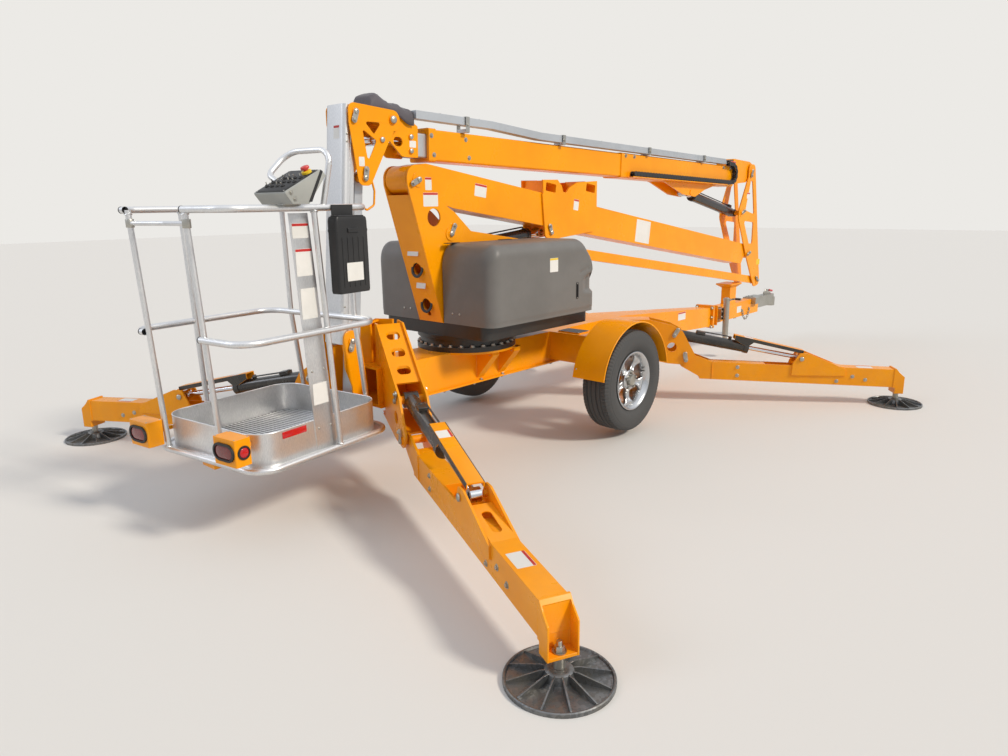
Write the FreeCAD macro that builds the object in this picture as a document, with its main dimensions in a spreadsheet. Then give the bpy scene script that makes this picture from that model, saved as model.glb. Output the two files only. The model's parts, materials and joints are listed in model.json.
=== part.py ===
"""Towable articulating boom lift, parked on its four outriggers with the booms stowed.

Frame of the model: +X towards the hitch, +Y to the left of travel, +Z up, millimetres.
The origin lies on the ground under the middle of the machine's length and width.
"""

import FreeCAD, Part
import Sketcher
import math
import os

from FreeCAD import Placement, Rotation, Vector

# Driving dimensions: alias, value in millimetres or degrees, what it is
SIZES = [
    ("front_reach", 4500, "wheel axle to the tip of the coupler"),
    ("rear_reach", 2835, "wheel axle to the rear face of the lamps"),
    # Wheels
    ("wheel_y", 752, "centre line to the middle of a wheel"),
    ("wheel_z", 402, "ground to the wheel axle, lifted off the ground"),
    ("tyre_radius", 359, ""),
    ("tyre_width", 225, ""),
    ("bead_radius", 196, "tyre bead on the rim"),
    ("hub_radius", 52, ""),
    ("rim_gap", 0.3, "running clearance of turned parts"),
    # Chassis
    ("frame_half", 150, "half width of the main tube"),
    ("frame_low", 465, "underside of the main tube"),
    ("frame_high", 690, "top of the main tube"),
    ("frame_rear", 1700, "axle back to the end of the main tube"),
    ("frame_front", 900, "axle forward to the start of the tongue"),
    ("flange_half", 172, "half width of the bottom flange"),
    ("flange_thick", 12, ""),
    ("tongue_reach", 2740, "axle to the tongue flange"),
    ("tongue_half", 72, "half width of the tongue at its flange"),
    ("tongue_low", 350, ""),
    ("tongue_high", 545, ""),
    ("drawbar_reach", 3960, "axle to the end of the drawbar"),
    ("drawbar_half", 55, ""),
    ("drawbar_low", 365, ""),
    ("drawbar_high", 530, ""),
    ("axle_beam_back", 70, "axle to the rear face of the axle beam"),
    ("axle_beam_front", 130, ""),
    ("axle_beam_low", 480, ""),
    ("axle_beam_end", 600, "centre line to the end of the axle beam"),
    ("fender_radius", 420, "outer radius of the fender band"),
    ("fender_low", 472, "lower edge of the fender band"),
    ("fender_inner", 618, "centre line to the inner edge of a fender"),
    ("fender_outer", 870, ""),
    ("sheet", 5, "thickness of folded sheet"),
    ("plate", 12, "thickness of bracket and link plates"),
    # Turret
    ("slew_x", 800, "axle back to the slewing axis"),
    ("ring_radius", 335, "slewing ring"),
    ("ring_high", 800, "top of the slewing ring"),
    ("deck_half", 480, "half width of the turret deck"),
    ("deck_high", 885, ""),
    ("tower_half", 110, "half width over the tower plates"),
    ("tower_pin_x", 1286, "axle back to the lower boom pivot"),
    ("tower_pin_z", 1768, ""),
    ("tower_boss", 84, "radius of the tower and boom bosses"),
    ("tower_foot_back", 1122, "axle back to the rear edge of the tower foot"),
    ("tower_foot_front", 640, ""),
    ("tie_dx", 258, "lower boom pivot forward to the tie bar pivot"),
    ("tie_dz", 326, "lower boom pivot down to the tie bar pivot"),
    ("hood_rear", 1120, "axle back to the rear of the hoods"),
    ("hood_front", 30, "axle back to the front of the hoods"),
    ("hood_inner", 120, "centre line to the inner side of a hood"),
    ("hood_outer", 540, ""),
    ("hood_top", 1385, ""),
    ("hood_shoulder", 1220, "height where the sloping front of a hood begins"),
    ("hood_round", 80, "edge radius of the hoods"),
    # Lower boom and link
    ("pin_radius", 24, ""),
    ("side_gap", 6, "clear space beside a moving plate"),
    ("lower_dx", 4778, "lower boom: rear pin forward to the front pin"),
    ("lower_dz", 692, "height of the rear pin over the front pin"),
    ("lower_depth", 222, "depth of the lower boom box"),
    ("belly_pin_x", 1324, "lower boom: rear pin to the lift cylinder's pin, along the boom"),
    ("belly_pin_z", 168, "that pin's depth under the boom's line of pins"),
    ("lift_base_x", 950, "axle back to the lift cylinder's base pin"),
    ("lift_base_z", 1320, ""),
    ("lift_bore", 92, "outside of the lift cylinder barrels"),
    ("lift_rod", 50, ""),
    ("lift_side", 24, "lift cylinder's offset to the left"),
    ("tie_side", 62, "tie bar's offset to the right"),
    ("tie_width", 50, ""),
    ("tie_height", 78, ""),
    ("link_dx", 58, "link: front pin back to its top pin"),
    ("link_dz", 854, "link: front pin of the lower boom up to its top pin"),
    ("elbow_dx", 252, "link: front pin of the lower boom back to the cylinder pin"),
    ("elbow_dz", 424, ""),
    ("link_boss", 68, ""),
    # Upper boom, in its own tilted frame from its pivot
    ("boom_tilt", 1.467, "degrees that the stowed upper boom rises to the rear"),
    ("outer_half", 82, "half width of the outer boom"),
    ("outer_top", 18, ""),
    ("outer_low", 166, ""),
    ("outer_rear", 4602, ""),
    ("outer_wall", 7, ""),
    ("sleeve_rear", 2490, ""),
    ("sleeve_front", 400, ""),
    ("sleeve_wall", 8, ""),
    ("head_front", 62, ""),
    ("inner_half", 62, ""),
    ("inner_top", 10, "top of the inner boom under the boom axis"),
    ("inner_low", 150, ""),
    ("inner_rear", 4700, ""),
    ("inner_front", 900, ""),
    ("pad_gap", 0.3, "clearance of the slide pads"),
    ("rod_pin_x", 1270, "boom pivot back to the pin of the upper lift cylinder"),
    ("rod_pin_z", 255, ""),
    ("knuckle_x", 4894, "boom pivot back to the knuckle pivot"),
    ("knuckle_z", 38, ""),
    ("level_dx", 81, "knuckle pivot back to the levelling pin"),
    ("level_dz", 112, ""),
    ("head_half", 78, "half width over the boom head plates"),
    # Jib
    ("jib_pin_x", 1714, "axle back to the jib pivot"),
    ("jib_pin_z", 2118, ""),
    ("jib_tie_dx", 41, ""),
    ("jib_tie_dz", 347, ""),
    ("jib_tie_half", 44, "half width of the jib's tie"),
    ("jib_length", 1255, ""),
    ("jib_lean", 5.26, "degrees that the jib leans"),
    ("mast_half", 86, ""),
    ("mast_depth", 74, ""),
    # Basket, in its own frame on the floor's centre
    ("basket_x", 2287, "axle back to the middle of the basket"),
    ("basket_turn", 8, "degrees that the basket stands turned"),
    ("basket_low", 398, "ground to the middle of the bottom rail"),
    ("basket_half_x", 448, ""),
    ("basket_half_y", 428, ""),
    ("rail_radius", 16.5, ""),
    ("rail_bend", 120, ""),
    ("kick_height", 170, ""),
    ("mid_rail", 622, "mid rail over the bottom rail"),
    ("top_rail", 1216, "top rail over the bottom rail"),
    # Outriggers
    ("rear_pad_x", 2532, "axle back to the rear feet"),
    ("rear_pad_y", 2160, ""),
    ("rear_hinge_x", 1760, ""),
    ("rear_hinge_y", 550, ""),
    ("front_pad_x", 2088, ""),
    ("front_pad_y", 2065, ""),
    ("front_hinge_x", 1100, ""),
    ("front_hinge_y", 650, ""),
    ("hinge_z", 360, "ground to the outrigger hinges"),
    ("leg_half", 58, "half width of an outrigger tube"),
    ("leg_depth", 145, ""),
    ("leg_top", 12, "leg tube's top under the hinge, at the hinge"),
    ("leg_fall", 52, "drop of the leg tube along its length"),
    ("ram_base_x", 100, "outrigger hinge back to the cylinder's base pin"),
    ("ram_base_z", 203, ""),
    ("ram_pin_x", 915, "outrigger hinge out to the rod pin"),
    ("ram_pin_z", 16, ""),
    ("ram_bore", 86, ""),
    ("ram_rod", 36, ""),
    ("foot_radius", 200, ""),
]

doc = FreeCAD.newDocument("BoomLift")
sheet = doc.addObject("Spreadsheet::Sheet", "Sizes")


class Size:
    """A number together with the expression that gives it from the sheet."""

    def __init__(self, value, text):
        self.value = float(value)
        self.text = text

    def join(self, sign, other, value):
        return Size(value, f"({self.text} {sign} {other.text})")

    def __add__(self, other):
        other = size(other)
        return self.join("+", other, self.value + other.value)

    def __radd__(self, other):
        return size(other) + self

    def __sub__(self, other):
        other = size(other)
        return self.join("-", other, self.value - other.value)

    def __rsub__(self, other):
        return size(other) - self

    def __mul__(self, other):
        other = size(other)
        return self.join("*", other, self.value * other.value)

    def __rmul__(self, other):
        return size(other) * self

    def __truediv__(self, other):
        other = size(other)
        return self.join("/", other, self.value / other.value)

    def __neg__(self):
        return Size(-self.value, f"(0 - {self.text})")

    def __float__(self):
        return self.value


def size(number):
    """Gives a plain number the same form as a size from the sheet."""
    if isinstance(number, Size):
        return number
    return Size(number, f"({number:.6g})" if number < 0 else f"{number:.6g}")


def root(a):
    return Size(math.sqrt(a.value), f"sqrt({a.text})")


def cosine(a):
    return Size(math.cos(math.radians(a.value)), f"cos({a.text} * 1 deg)")


def sine(a):
    return Size(math.sin(math.radians(a.value)), f"sin({a.text} * 1 deg)")


def slope(rise, run):
    """The angle in degrees of a line that rises so much over a run."""
    text = f"(atan2({rise.text}; {run.text}) / 1 deg)"
    return Size(math.degrees(math.atan2(rise.value, run.value)), text)


class Sheet:
    """The sheet's cells as sizes, by alias."""

    def __init__(self, rows):
        for row, (alias, value, note) in enumerate(rows, start=1):
            sheet.set(f"A{row}", alias.replace("_", " "))
            sheet.set(f"B{row}", str(value))
            sheet.set(f"C{row}", note)
            sheet.setAlias(f"B{row}", alias)
            setattr(self, alias, Size(value, f"Sizes.{alias}"))


S = Sheet(SIZES)
doc.recompute()


def derived(alias, result):
    """Keeps a size that follows from others as a formula in the sheet."""
    row = len(SIZES) + 1 + derived.count
    derived.count += 1
    sheet.set(f"A{row}", alias.replace("_", " "))
    sheet.set(f"B{row}", "=" + result.text.replace("Sizes.", ""))
    sheet.setAlias(f"B{row}", alias)
    return Size(result.value, f"Sizes.{alias}")


derived.count = 0

AXLE = derived("axle_x", (S.rear_reach - S.front_reach) / 2)


def ahead(distance):
    """X of a point so far in front of the axle."""
    return AXLE + distance


def behind(distance):
    """X of a point so far behind the axle."""
    return AXLE - distance


PLANES = {"XY": ("XY_Plane", 1), "XZ": ("XZ_Plane", -1), "YZ": ("YZ_Plane", 1)}
PIECES = []


def circle(u, v, radius):
    return ("circle", size(u), size(v), size(radius))


def polygon(*points):
    """A closed outline, each corner as (u, v), or (u, v, radius) where it is rounded."""
    return ("polygon", [tuple(size(n) for n in p) for p in points])


def rectangle(u0, v0, u1, v1, radius=None):
    corners = [(u0, v0), (u1, v0), (u1, v1), (u0, v1)]
    if radius is not None:
        corners = [c + (radius,) for c in corners]
    return polygon(*corners)


def corner_points(before, corner, after):
    """Where a rounded corner's arc starts and ends, and its centre."""
    radius = corner[2]
    ends = []
    legs = []
    for other in (before, after):
        du = other[0] - corner[0]
        dv = other[1] - corner[1]
        length = root(du * du + dv * dv)
        legs.append((du / length, dv / length))
    cosine_between = legs[0][0] * legs[1][0] + legs[0][1] * legs[1][1]
    back = radius * root((1 + cosine_between) / (1 - cosine_between))
    for du, dv in legs:
        ends.append((corner[0] + du * back, corner[1] + dv * back))
    bisector = Vector(float(legs[0][0] + legs[1][0]), float(legs[0][1] + legs[1][1]), 0)
    bisector.normalize()
    to_centre = math.hypot(float(back), float(radius))
    centre = Vector(float(corner[0]), float(corner[1]), 0) + bisector * to_centre
    return ends[0], ends[1], centre


def pin_point(sketch, geometry, end, u, v):
    """Ties one point of a sketch to the sheet."""
    for kind, value in (("DistanceX", u), ("DistanceY", v)):
        index = sketch.addConstraint(Sketcher.Constraint(kind, -1, 1, geometry, end, float(value)))
        sketch.setExpression(f"Constraints[{index}]", value.text)


def draw(sketch, loops):
    """Puts the outlines in a sketch, with every point tied to the sheet."""
    for loop in loops:
        if loop[0] == "circle":
            u, v, radius = loop[1:]
            centre = Vector(float(u), float(v), 0)
            g = sketch.addGeometry(Part.Circle(centre, Vector(0, 0, 1), float(radius)))
            index = sketch.addConstraint(Sketcher.Constraint("Radius", g, float(radius)))
            sketch.setExpression(f"Constraints[{index}]", radius.text)
            pin_point(sketch, g, 3, u, v)
            continue
        points = loop[1]
        count = len(points)
        ends = []
        for i, point in enumerate(points):
            if len(point) == 3 and float(point[2]) > 0:
                ends.append(corner_points(points[i - 1], point, points[(i + 1) % count]))
            else:
                ends.append((point[:2], point[:2], None))
        lines = []
        for i in range(count):
            a = ends[i][1]
            b = ends[(i + 1) % count][0]
            segment = Part.LineSegment(
                Vector(float(a[0]), float(a[1]), 0), Vector(float(b[0]), float(b[1]), 0)
            )
            g = sketch.addGeometry(segment)
            pin_point(sketch, g, 1, *a)
            lines.append(g)
        for i in range(count):
            before = lines[i - 1]
            after = lines[i]
            start, end, centre = ends[i]
            if centre is None:
                sketch.addConstraint(Sketcher.Constraint("Coincident", before, 2, after, 1))
                continue
            pin_point(sketch, before, 2, *start)
            angles = [math.atan2(float(q[1]) - centre.y, float(q[0]) - centre.x) for q in (start, end)]
            if (angles[1] - angles[0]) % (2 * math.pi) > math.pi:
                angles.reverse()
            if angles[1] < angles[0]:
                angles[1] += 2 * math.pi
            whole = Part.Circle(centre, Vector(0, 0, 1), float(points[i][2]))
            g = sketch.addGeometry(Part.ArcOfCircle(whole, *angles))
            for line_end, line in ((2, before), (1, after)):
                point = sketch.getPoint(line, line_end)
                arc_end = 1 if sketch.getPoint(g, 1).distanceToPoint(point) < 1e-4 else 2
                sketch.addConstraint(
                    Sketcher.Constraint("Coincident", g, arc_end, line, line_end)
                )
            radius = points[i][2]
            index = sketch.addConstraint(Sketcher.Constraint("Radius", g, float(radius)))
            sketch.setExpression(f"Constraints[{index}]", radius.text)


def settle(made, place, axis, turn):
    """Puts an object in its place, tied to the sheet."""
    place = [size(n) for n in place]
    turn = size(turn)
    made.Placement = Placement(
        Vector(*[float(n) for n in place]), Rotation(Vector(*axis), float(turn))
    )
    for letter, value in zip("xyz", place):
        made.setExpression(f"Placement.Base.{letter}", value.text)
    if turn.value:
        made.setExpression("Placement.Rotation.Angle", f"{turn.text} * 1 deg")


class Piece:
    """One sub-part: a body whose features are tied to the sheet."""

    def __init__(self, name, place=(AXLE, 0, 0), axis=(0, 0, 1), turn=0, alone=True):
        self.name = name
        self.body = doc.addObject("PartDesign::Body", name)
        self.body.Label = name
        self.body.AllowCompound = True
        settle(self.body, place, axis, turn)
        self.features = 0
        if alone:
            PIECES.append(self.body)

    def lean(self, fall):
        """Dips the piece's own X axis by an angle, after its turn about Z."""
        turned = self.body.Placement.Rotation
        self.body.setExpression("Placement.Rotation.Angle", None)
        self.body.Placement = Placement(
            self.body.Placement.Base, turned * Rotation(Vector(0, 1, 0), float(fall))
        )

    def sketch(self, plane, height, loops):
        role, sign = PLANES[plane]
        self.features += 1
        made = self.body.newObject("Sketcher::SketchObject", f"{self.name}_outline_{self.features}")
        origin = [f for f in self.body.Origin.OriginFeatures if f.Role == role][0]
        made.AttachmentSupport = [(origin, "")]
        made.MapMode = "FlatFace"
        offset = size(height) if sign > 0 else -size(height)
        made.AttachmentOffset = Placement(Vector(0, 0, float(offset)), Rotation())
        made.setExpression("AttachmentOffset.Base.z", offset.text)
        draw(made, loops)
        return made

    def feature(self, kind, profile):
        made = self.body.newObject(f"PartDesign::{kind}", f"{self.name}_{kind}_{self.features}")
        made.Profile = profile
        profile.Visibility = False
        return made

    def pad(self, plane, low, high, *loops):
        """Adds the outlines as material between two heights along the plane's axis."""
        low, high = size(low), size(high)
        start = low if PLANES[plane][1] > 0 else high
        made = self.feature("Pad", self.sketch(plane, start, loops))
        length = high - low
        made.Length = float(length)
        made.setExpression("Length", length.text)
        return made

    def cut(self, plane, low, high, *loops):
        """Takes the outlines away between two heights along the plane's axis."""
        low, high = size(low), size(high)
        start = high if PLANES[plane][1] > 0 else low
        made = self.feature("Pocket", self.sketch(plane, start, loops))
        made.Type = "Length"
        length = high - low
        made.Length = float(length)
        made.setExpression("Length", length.text)
        return made

    def sides(self, inner, outer, *loops):
        """Adds the same upright plate on the left and on the right."""
        inner, outer = size(inner), size(outer)
        self.pad("XZ", inner, outer, *loops)
        self.pad("XZ", -outer, -inner, *loops)

    def pin(self, u, v, radius, low, high, plane="XZ"):
        self.pad(plane, low, high, circle(u, v, radius))

    def turn(self, plane, height, *loops, axis="H_Axis"):
        """Revolves the outlines about one of the sketch's own axes."""
        profile = self.sketch(plane, height, loops)
        made = self.feature("Revolution", profile)
        made.ReferenceAxis = (profile, [axis])
        made.Angle = 360
        return made

    def loft(self, *sections):
        """Joins outlines on parallel planes, each as (plane, height, outline)."""
        profiles = [self.sketch(plane, height, [loop]) for plane, height, loop in sections]
        made = self.feature("AdditiveLoft", profiles[0])
        made.Sections = [(p, "") for p in profiles[1:]]
        made.Ruled = True
        for p in profiles:
            p.Visibility = False
        return made

    def fillet(self, radius, chosen):
        """Rounds the edges of the last feature that the test picks out."""
        doc.recompute()
        base = self.body.Tip
        names = [f"Edge{i}" for i, e in enumerate(base.Shape.Edges, start=1) if chosen(e)]
        if not names:
            raise ValueError(f"{self.name}: no edge to round")
        made = self.body.newObject("PartDesign::Fillet", f"{self.name}_round_{self.features}")
        made.Base = (base, names)
        made.Radius = float(size(radius))
        made.setExpression("Radius", size(radius).text)
        self.features += 1
        return made


def bent_wire(points, bend, closed=False):
    """A path of straight runs joined by tangent arcs, through Size points in millimetres."""
    corners = [Vector(*[float(n) for n in p]) for p in points]
    count = len(corners)
    bends = list(bend) if isinstance(bend, (list, tuple)) else [float(size(bend))] * count
    starts, ends, middles = [], [], []
    for i, corner in enumerate(corners):
        if not closed and i in (0, count - 1):
            starts.append(corner)
            ends.append(corner)
            middles.append(None)
            continue
        a = (corners[i - 1] - corner).normalize()
        b = (corners[(i + 1) % count] - corner).normalize()
        half = a.getAngle(b) / 2
        radius = float(bends[i])
        back = radius / math.tan(half)
        bisector = (a + b).normalize()
        starts.append(corner + a * back)
        ends.append(corner + b * back)
        middles.append(corner + bisector * (radius / math.sin(half) - radius))
    edges = []
    for i in range(count):
        if middles[i] is not None:
            edges.append(Part.Arc(starts[i], middles[i], ends[i]).toShape())
        if i < count - 1 or closed:
            following = starts[(i + 1) % count]
            if ends[i].distanceToPoint(following) > 1e-6:
                edges.append(Part.LineSegment(ends[i], following).toShape())
    return Part.Wire(edges)


def tube(points, bend, radius, closed=False):
    """A round bar along a bent path."""
    path = bent_wire(points, bend, closed)
    first = path.Edges[0]
    begin = first.valueAt(first.FirstParameter)
    along = first.tangentAt(first.FirstParameter)
    ring = Part.Wire([Part.makeCircle(float(radius), begin, along)])
    return path.makePipeShell([ring], True, False)


def formed(name, shape, place=(AXLE, 0, 0), axis=(0, 0, 1), turn=0):
    """Keeps a shape that is made from bent bars as a sub-part of its own."""
    made = doc.addObject("Part::Feature", name)
    made.Label = name
    made.Shape = shape
    settle(made, place, axis, turn)
    PIECES.append(made)
    return made


# Chassis

frame = Piece("chassis_frame")
frame.pad(
    "XY", S.frame_low, S.frame_high,
    rectangle(-S.frame_rear, -S.frame_half, S.frame_front, S.frame_half),
)
frame.pad(
    "XY", S.frame_low - S.flange_thick, S.frame_low,
    rectangle(-S.frame_rear, -S.flange_half, S.frame_front, S.flange_half),
)
frame.pad("XY", S.frame_high - 14, S.frame_high, circle(-S.slew_x, 0, S.ring_radius))
for gusset_x in (-830, -615):
    for side in (1, -1):
        frame.pad(
            "YZ", gusset_x - 32, gusset_x + 32,
            polygon(
                (side * S.frame_half, S.frame_high - 14),
                (side * 300, S.frame_high - 14),
                (side * 300, S.frame_high - 40),
                (side * S.frame_half, S.frame_low + 15),
            ),
        )
frame.cut(
    "YZ", -S.frame_rear, 260 - S.frame_rear,
    rectangle(9 - S.frame_half, S.frame_low + 9, S.frame_half - 9, S.frame_high - 9),
)

axle_beam = Piece("axle_beam")
for side in (1, -1):
    inner, outer = sorted((side * S.frame_half, side * S.axle_beam_end), key=float)
    axle_beam.pad(
        "XZ", inner, outer,
        rectangle(-S.axle_beam_back, S.axle_beam_low, S.axle_beam_front, S.frame_high),
    )
    near, far = sorted((side * (S.frame_half + 60), side * (S.axle_beam_end - 60)), key=float)
    axle_beam.cut("XZ", near, far, rectangle(-60, S.axle_beam_low, 122, S.frame_high - 12))
    axle_beam.pad("XY", S.frame_high, S.frame_high + 8, rectangle(
        -40, side * 300 - 100, 100, side * 300 + 100, 12))
    # Swing arm down to the spindle, then the hub inside the rim
    inner, outer = sorted((side * S.axle_beam_end, side * (S.wheel_y - 120)), key=float)
    axle_beam.pad("XZ", inner, outer, polygon(
        (-62, S.wheel_z + 20), (0, S.wheel_z - 58, 40), (62, S.wheel_z, 30),
        (95, 590, 30), (25, 640, 30), (-38, 590, 30)))
    inner, outer = sorted((side * (S.wheel_y - 120), side * (S.wheel_y + 58)), key=float)
    axle_beam.pin(0, S.wheel_z, S.hub_radius - S.rim_gap, inner, outer)

fenders = Piece("fenders")
for side in (1, -1):
    inner, outer = sorted((side * S.fender_inner, side * S.fender_outer), key=float)
    fenders.pad(
        "XZ", inner, outer,
        circle(0, S.wheel_z, S.fender_radius),
        circle(0, S.wheel_z, S.fender_radius - S.sheet),
    )
    inner, outer = sorted((side * S.fender_inner, side * (S.fender_inner + S.sheet)), key=float)
    fenders.pad("XZ", inner, outer, circle(0, S.wheel_z, S.fender_radius - 2))
    inner, outer = sorted((side * S.axle_beam_end, side * (S.fender_inner + 1)), key=float)
    fenders.pad("XZ", inner, outer, rectangle(-60, 646, 120, 780))
fenders.cut(
    "XZ", -S.fender_outer - 1, S.fender_outer + 1,
    rectangle(-S.fender_radius - 5, -60, S.fender_radius + 5, S.fender_low),
)
fenders.cut("XZ", -S.fender_outer - 1, S.fender_outer + 1, rectangle(-110, S.fender_low - 5, 140, 644))

tongue = Piece("tongue")
tongue.loft(
    ("YZ", S.frame_front, rectangle(
        -S.frame_half, S.frame_low, S.frame_half, S.frame_high)),
    ("YZ", S.tongue_reach - 14, rectangle(
        -S.tongue_half, S.tongue_low, S.tongue_half, S.tongue_high)),
)
tongue.pad("YZ", S.tongue_reach - 14, S.tongue_reach, rectangle(
    -S.tongue_half - 28, S.tongue_low - 14, S.tongue_half + 28, S.tongue_high + 26, 8))

drawbar = Piece("drawbar")
drawbar.pad("YZ", S.tongue_reach, S.tongue_reach + 14, rectangle(
    -S.tongue_half - 28, S.tongue_low - 14, S.tongue_half + 28, S.tongue_high + 26, 8))
drawbar.pad("YZ", S.tongue_reach + 14, S.drawbar_reach, rectangle(
    -S.drawbar_half, S.drawbar_low, S.drawbar_half, S.drawbar_high))
for x in (S.tongue_reach + 14, S.tongue_reach + 120):
    drawbar.pad("YZ", x, x + 10, rectangle(
        -S.drawbar_half - 26, S.drawbar_low - 18, S.drawbar_half + 26, S.drawbar_high + 26, 8))
# Cradle that carries the boom on the road
drawbar.pad("XY", S.drawbar_high, 706, rectangle(3205, -50, 3355, 50))
drawbar.loft(
    ("XY", 706, rectangle(3205, -50, 3355, 50)),
    ("XY", 743, rectangle(3140, -92, 3405, 92)),
)
drawbar.pad("XY", 743, 754, rectangle(3140, -92, 3405, 92, 14))

coupler = Piece("coupler")
ball_x = S.front_reach - 52
coupler.pad("XY", S.drawbar_low + 40, S.drawbar_high - 25, rectangle(
    S.drawbar_reach, -42, S.front_reach - 80, 42))
coupler.pad("XY", S.drawbar_high - 25, S.drawbar_high, rectangle(
    S.drawbar_reach, -48, S.front_reach - 66, 48, 10))
coupler.pad("XY", S.drawbar_high, S.drawbar_high + 15, rectangle(
    S.drawbar_reach - 190, -S.drawbar_half - 1, S.drawbar_reach + 110, 52, 8))
coupler.pad("XY", S.drawbar_low + 20, S.drawbar_high - 45, circle(ball_x, 0, 52))
coupler.pad("XY", S.drawbar_high - 46, S.drawbar_high - 15, circle(ball_x, 0, 38))
coupler.pad("XZ", -9, 9, polygon(
    (S.front_reach - 250, S.drawbar_high - 10), (S.front_reach - 76, S.drawbar_high - 10),
    (S.front_reach - 80, S.drawbar_high + 14, 8), (S.front_reach - 200, S.drawbar_high + 46, 10),
    (S.front_reach - 262, S.drawbar_high + 34, 8)))
coupler.cut("XY", S.drawbar_low + 18, S.drawbar_high - 62, circle(ball_x, 0, 25.4))
coupler.pad("YZ", S.drawbar_reach - 190, S.drawbar_reach - 70, rectangle(
    -104, S.drawbar_high - 60, -S.drawbar_half, S.drawbar_high + 20, 10))

jack = Piece("jack")
jack.pin(2960, -132, 31, 232, 600, "XY")
jack.pin(2960, -132, 24, 112, 232, "XY")
jack.pin(2960, -132, 62, 100, 112, "XY")
jack.pin(2960, -132, 36, 600, 628, "XY")
jack.pad("XZ", -101, -S.drawbar_half, rectangle(2912, 400, 3008, 520, 10))
jack.pad("XZ", -178, -170, rectangle(2948, 606, 3060, 622, 6))
jack.pin(2960, 614, 9, -171, -160)
jack.pin(3048, 614, 10, -250, -177)

# Wheels

TYRE_PROFILE = [
    (-86, 0, 0), (-80, 26, 8), (-112.5, 78, 26), (-110, 128, 16), (-86, 160, 22),
    (0, 163, 0), (86, 160, 22), (110, 128, 16), (112.5, 78, 26), (80, 26, 8), (86, 0, 0),
]
for side, sign in (("left", 1), ("right", -1)):
    centre = (AXLE, sign * S.wheel_y, S.wheel_z)
    scale_up = (S.tyre_radius - S.bead_radius) / 163
    across = S.tyre_width / 225
    tyre = Piece(f"tyre_{side}", centre)
    outline = []
    for u, v, r in TYRE_PROFILE:
        point = (u * across, S.bead_radius + v * scale_up)
        outline.append(point + (r * across,) if r else point)
    tyre.turn("YZ", 0, polygon(*outline))

    rim = Piece(f"rim_{side}", centre)
    rim.turn("YZ", 0, polygon(
        (-83, S.bead_radius - 0.5), (-83, S.bead_radius - 14), (-60, S.bead_radius - 28),
        (83, S.bead_radius - 28), (83, S.bead_radius - 0.5)))
    for edge in (1, -1):
        rim.turn("YZ", 0, polygon(
            (edge * 82, S.bead_radius - 14), (edge * 94, S.bead_radius - 14),
            (edge * 98, S.bead_radius + 12, 3), (edge * 90, S.bead_radius + 12, 3),
            (edge * 87, S.bead_radius - 2), (edge * 82, S.bead_radius - 2)))
    low, high = sorted((sign * 34, sign * 60))
    rim.pad("XZ", low, high, circle(0, 0, S.bead_radius - 26), circle(0, 0, S.hub_radius))
    low, high = sorted((sign * 59, sign * 72))
    rim.pad("XZ", low, high, circle(0, 0, S.hub_radius + 18))
    low, high = sorted((sign * 33, sign * 61))
    windows = []
    for k in range(5):
        corners = []
        for angle, radius, bend in ((-25, 152, 16), (25, 152, 16), (13, 86, 10), (-13, 86, 10)):
            turned = math.radians(90 + 72 * k + angle)
            reach = size(radius) * (S.bead_radius / 196)
            corners.append((reach * math.cos(turned), reach * math.sin(turned), bend))
        windows.append(polygon(*corners))
    rim.cut("XZ", low, high, *windows)

# Turret

turntable = Piece("turntable")
turntable.pin(-S.slew_x, 0, S.ring_radius, S.frame_high, S.frame_high + 34, "XY")
turntable.pin(-S.slew_x, 0, S.ring_radius - 22, S.frame_high + 34, S.ring_high - 30, "XY")
turntable.pin(-S.slew_x, 0, S.ring_radius - 4, S.ring_high - 30, S.ring_high, "XY")
turntable.pad("XY", S.ring_high, S.deck_high, rectangle(
    -S.hood_rear + 6, -S.deck_half, -S.hood_front - 6, S.deck_half, 60))

tower = Piece("tower")
lean = (S.tower_pin_x + 86 - S.tower_foot_back) / (S.tower_pin_z - 28 - S.deck_high)
tower_side = polygon(
    (-S.tower_foot_back, S.deck_high),
    (-S.tower_foot_front, S.deck_high),
    (-S.tower_foot_front, S.deck_high + 90, 40),
    (-S.tower_pin_x + 456, S.tower_pin_z - 328, 60),
    (-S.tower_pin_x + 296, S.tower_pin_z - 193, 60),
    (-S.tower_pin_x + 88, S.tower_pin_z - 72, 40),
    (-S.tower_pin_x + 88, S.tower_pin_z + 86, 78),
    (-S.tower_pin_x - 86, S.tower_pin_z + 86, 78),
    (-S.tower_pin_x - 86, S.tower_pin_z - 28, 40),
)
tower.sides(S.tower_half - S.plate, S.tower_half, tower_side)
back_top = S.tower_pin_z - 88
back_shift = lean * (back_top - S.deck_high)
tower.pad("XZ", 1 - S.tower_half, S.tower_half - 1, polygon(
    (-S.tower_foot_back + 1, S.deck_high), (-S.tower_foot_back + 13, S.deck_high),
    (-S.tower_foot_back + 13 - back_shift, back_top),
    (-S.tower_foot_back + 1 - back_shift, back_top)))
tower.pad("XZ", 1 - S.tower_half, S.tower_half - 1, rectangle(
    -S.tower_foot_back + 2, S.deck_high, -S.tower_foot_front - 1, S.deck_high + 12))
tower.pad("XZ", 1 - S.tower_half, S.tower_half - 1, rectangle(
    -S.tower_foot_front - 14, S.deck_high, -S.tower_foot_front - 2, S.deck_high + 86))
for hole_z, hole_radius in ((1228, 40), (998, 40), (940, 17)):
    tower.cut("YZ", -S.tower_foot_back - 130, -S.tower_foot_back + 30, circle(0, hole_z, hole_radius))
tower.cut("XZ", -S.tower_half - 1, S.tower_half + 1, circle(
    -S.tower_pin_x + 119, S.tower_pin_z - 223, 54))
tower.pin(-S.tower_pin_x, S.tower_pin_z, S.pin_radius, -S.tower_half - 10, S.tower_half + 10)
tower.pin(-S.lift_base_x, S.lift_base_z, S.pin_radius, -S.tower_half - 8, S.tower_half + 8)
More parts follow.
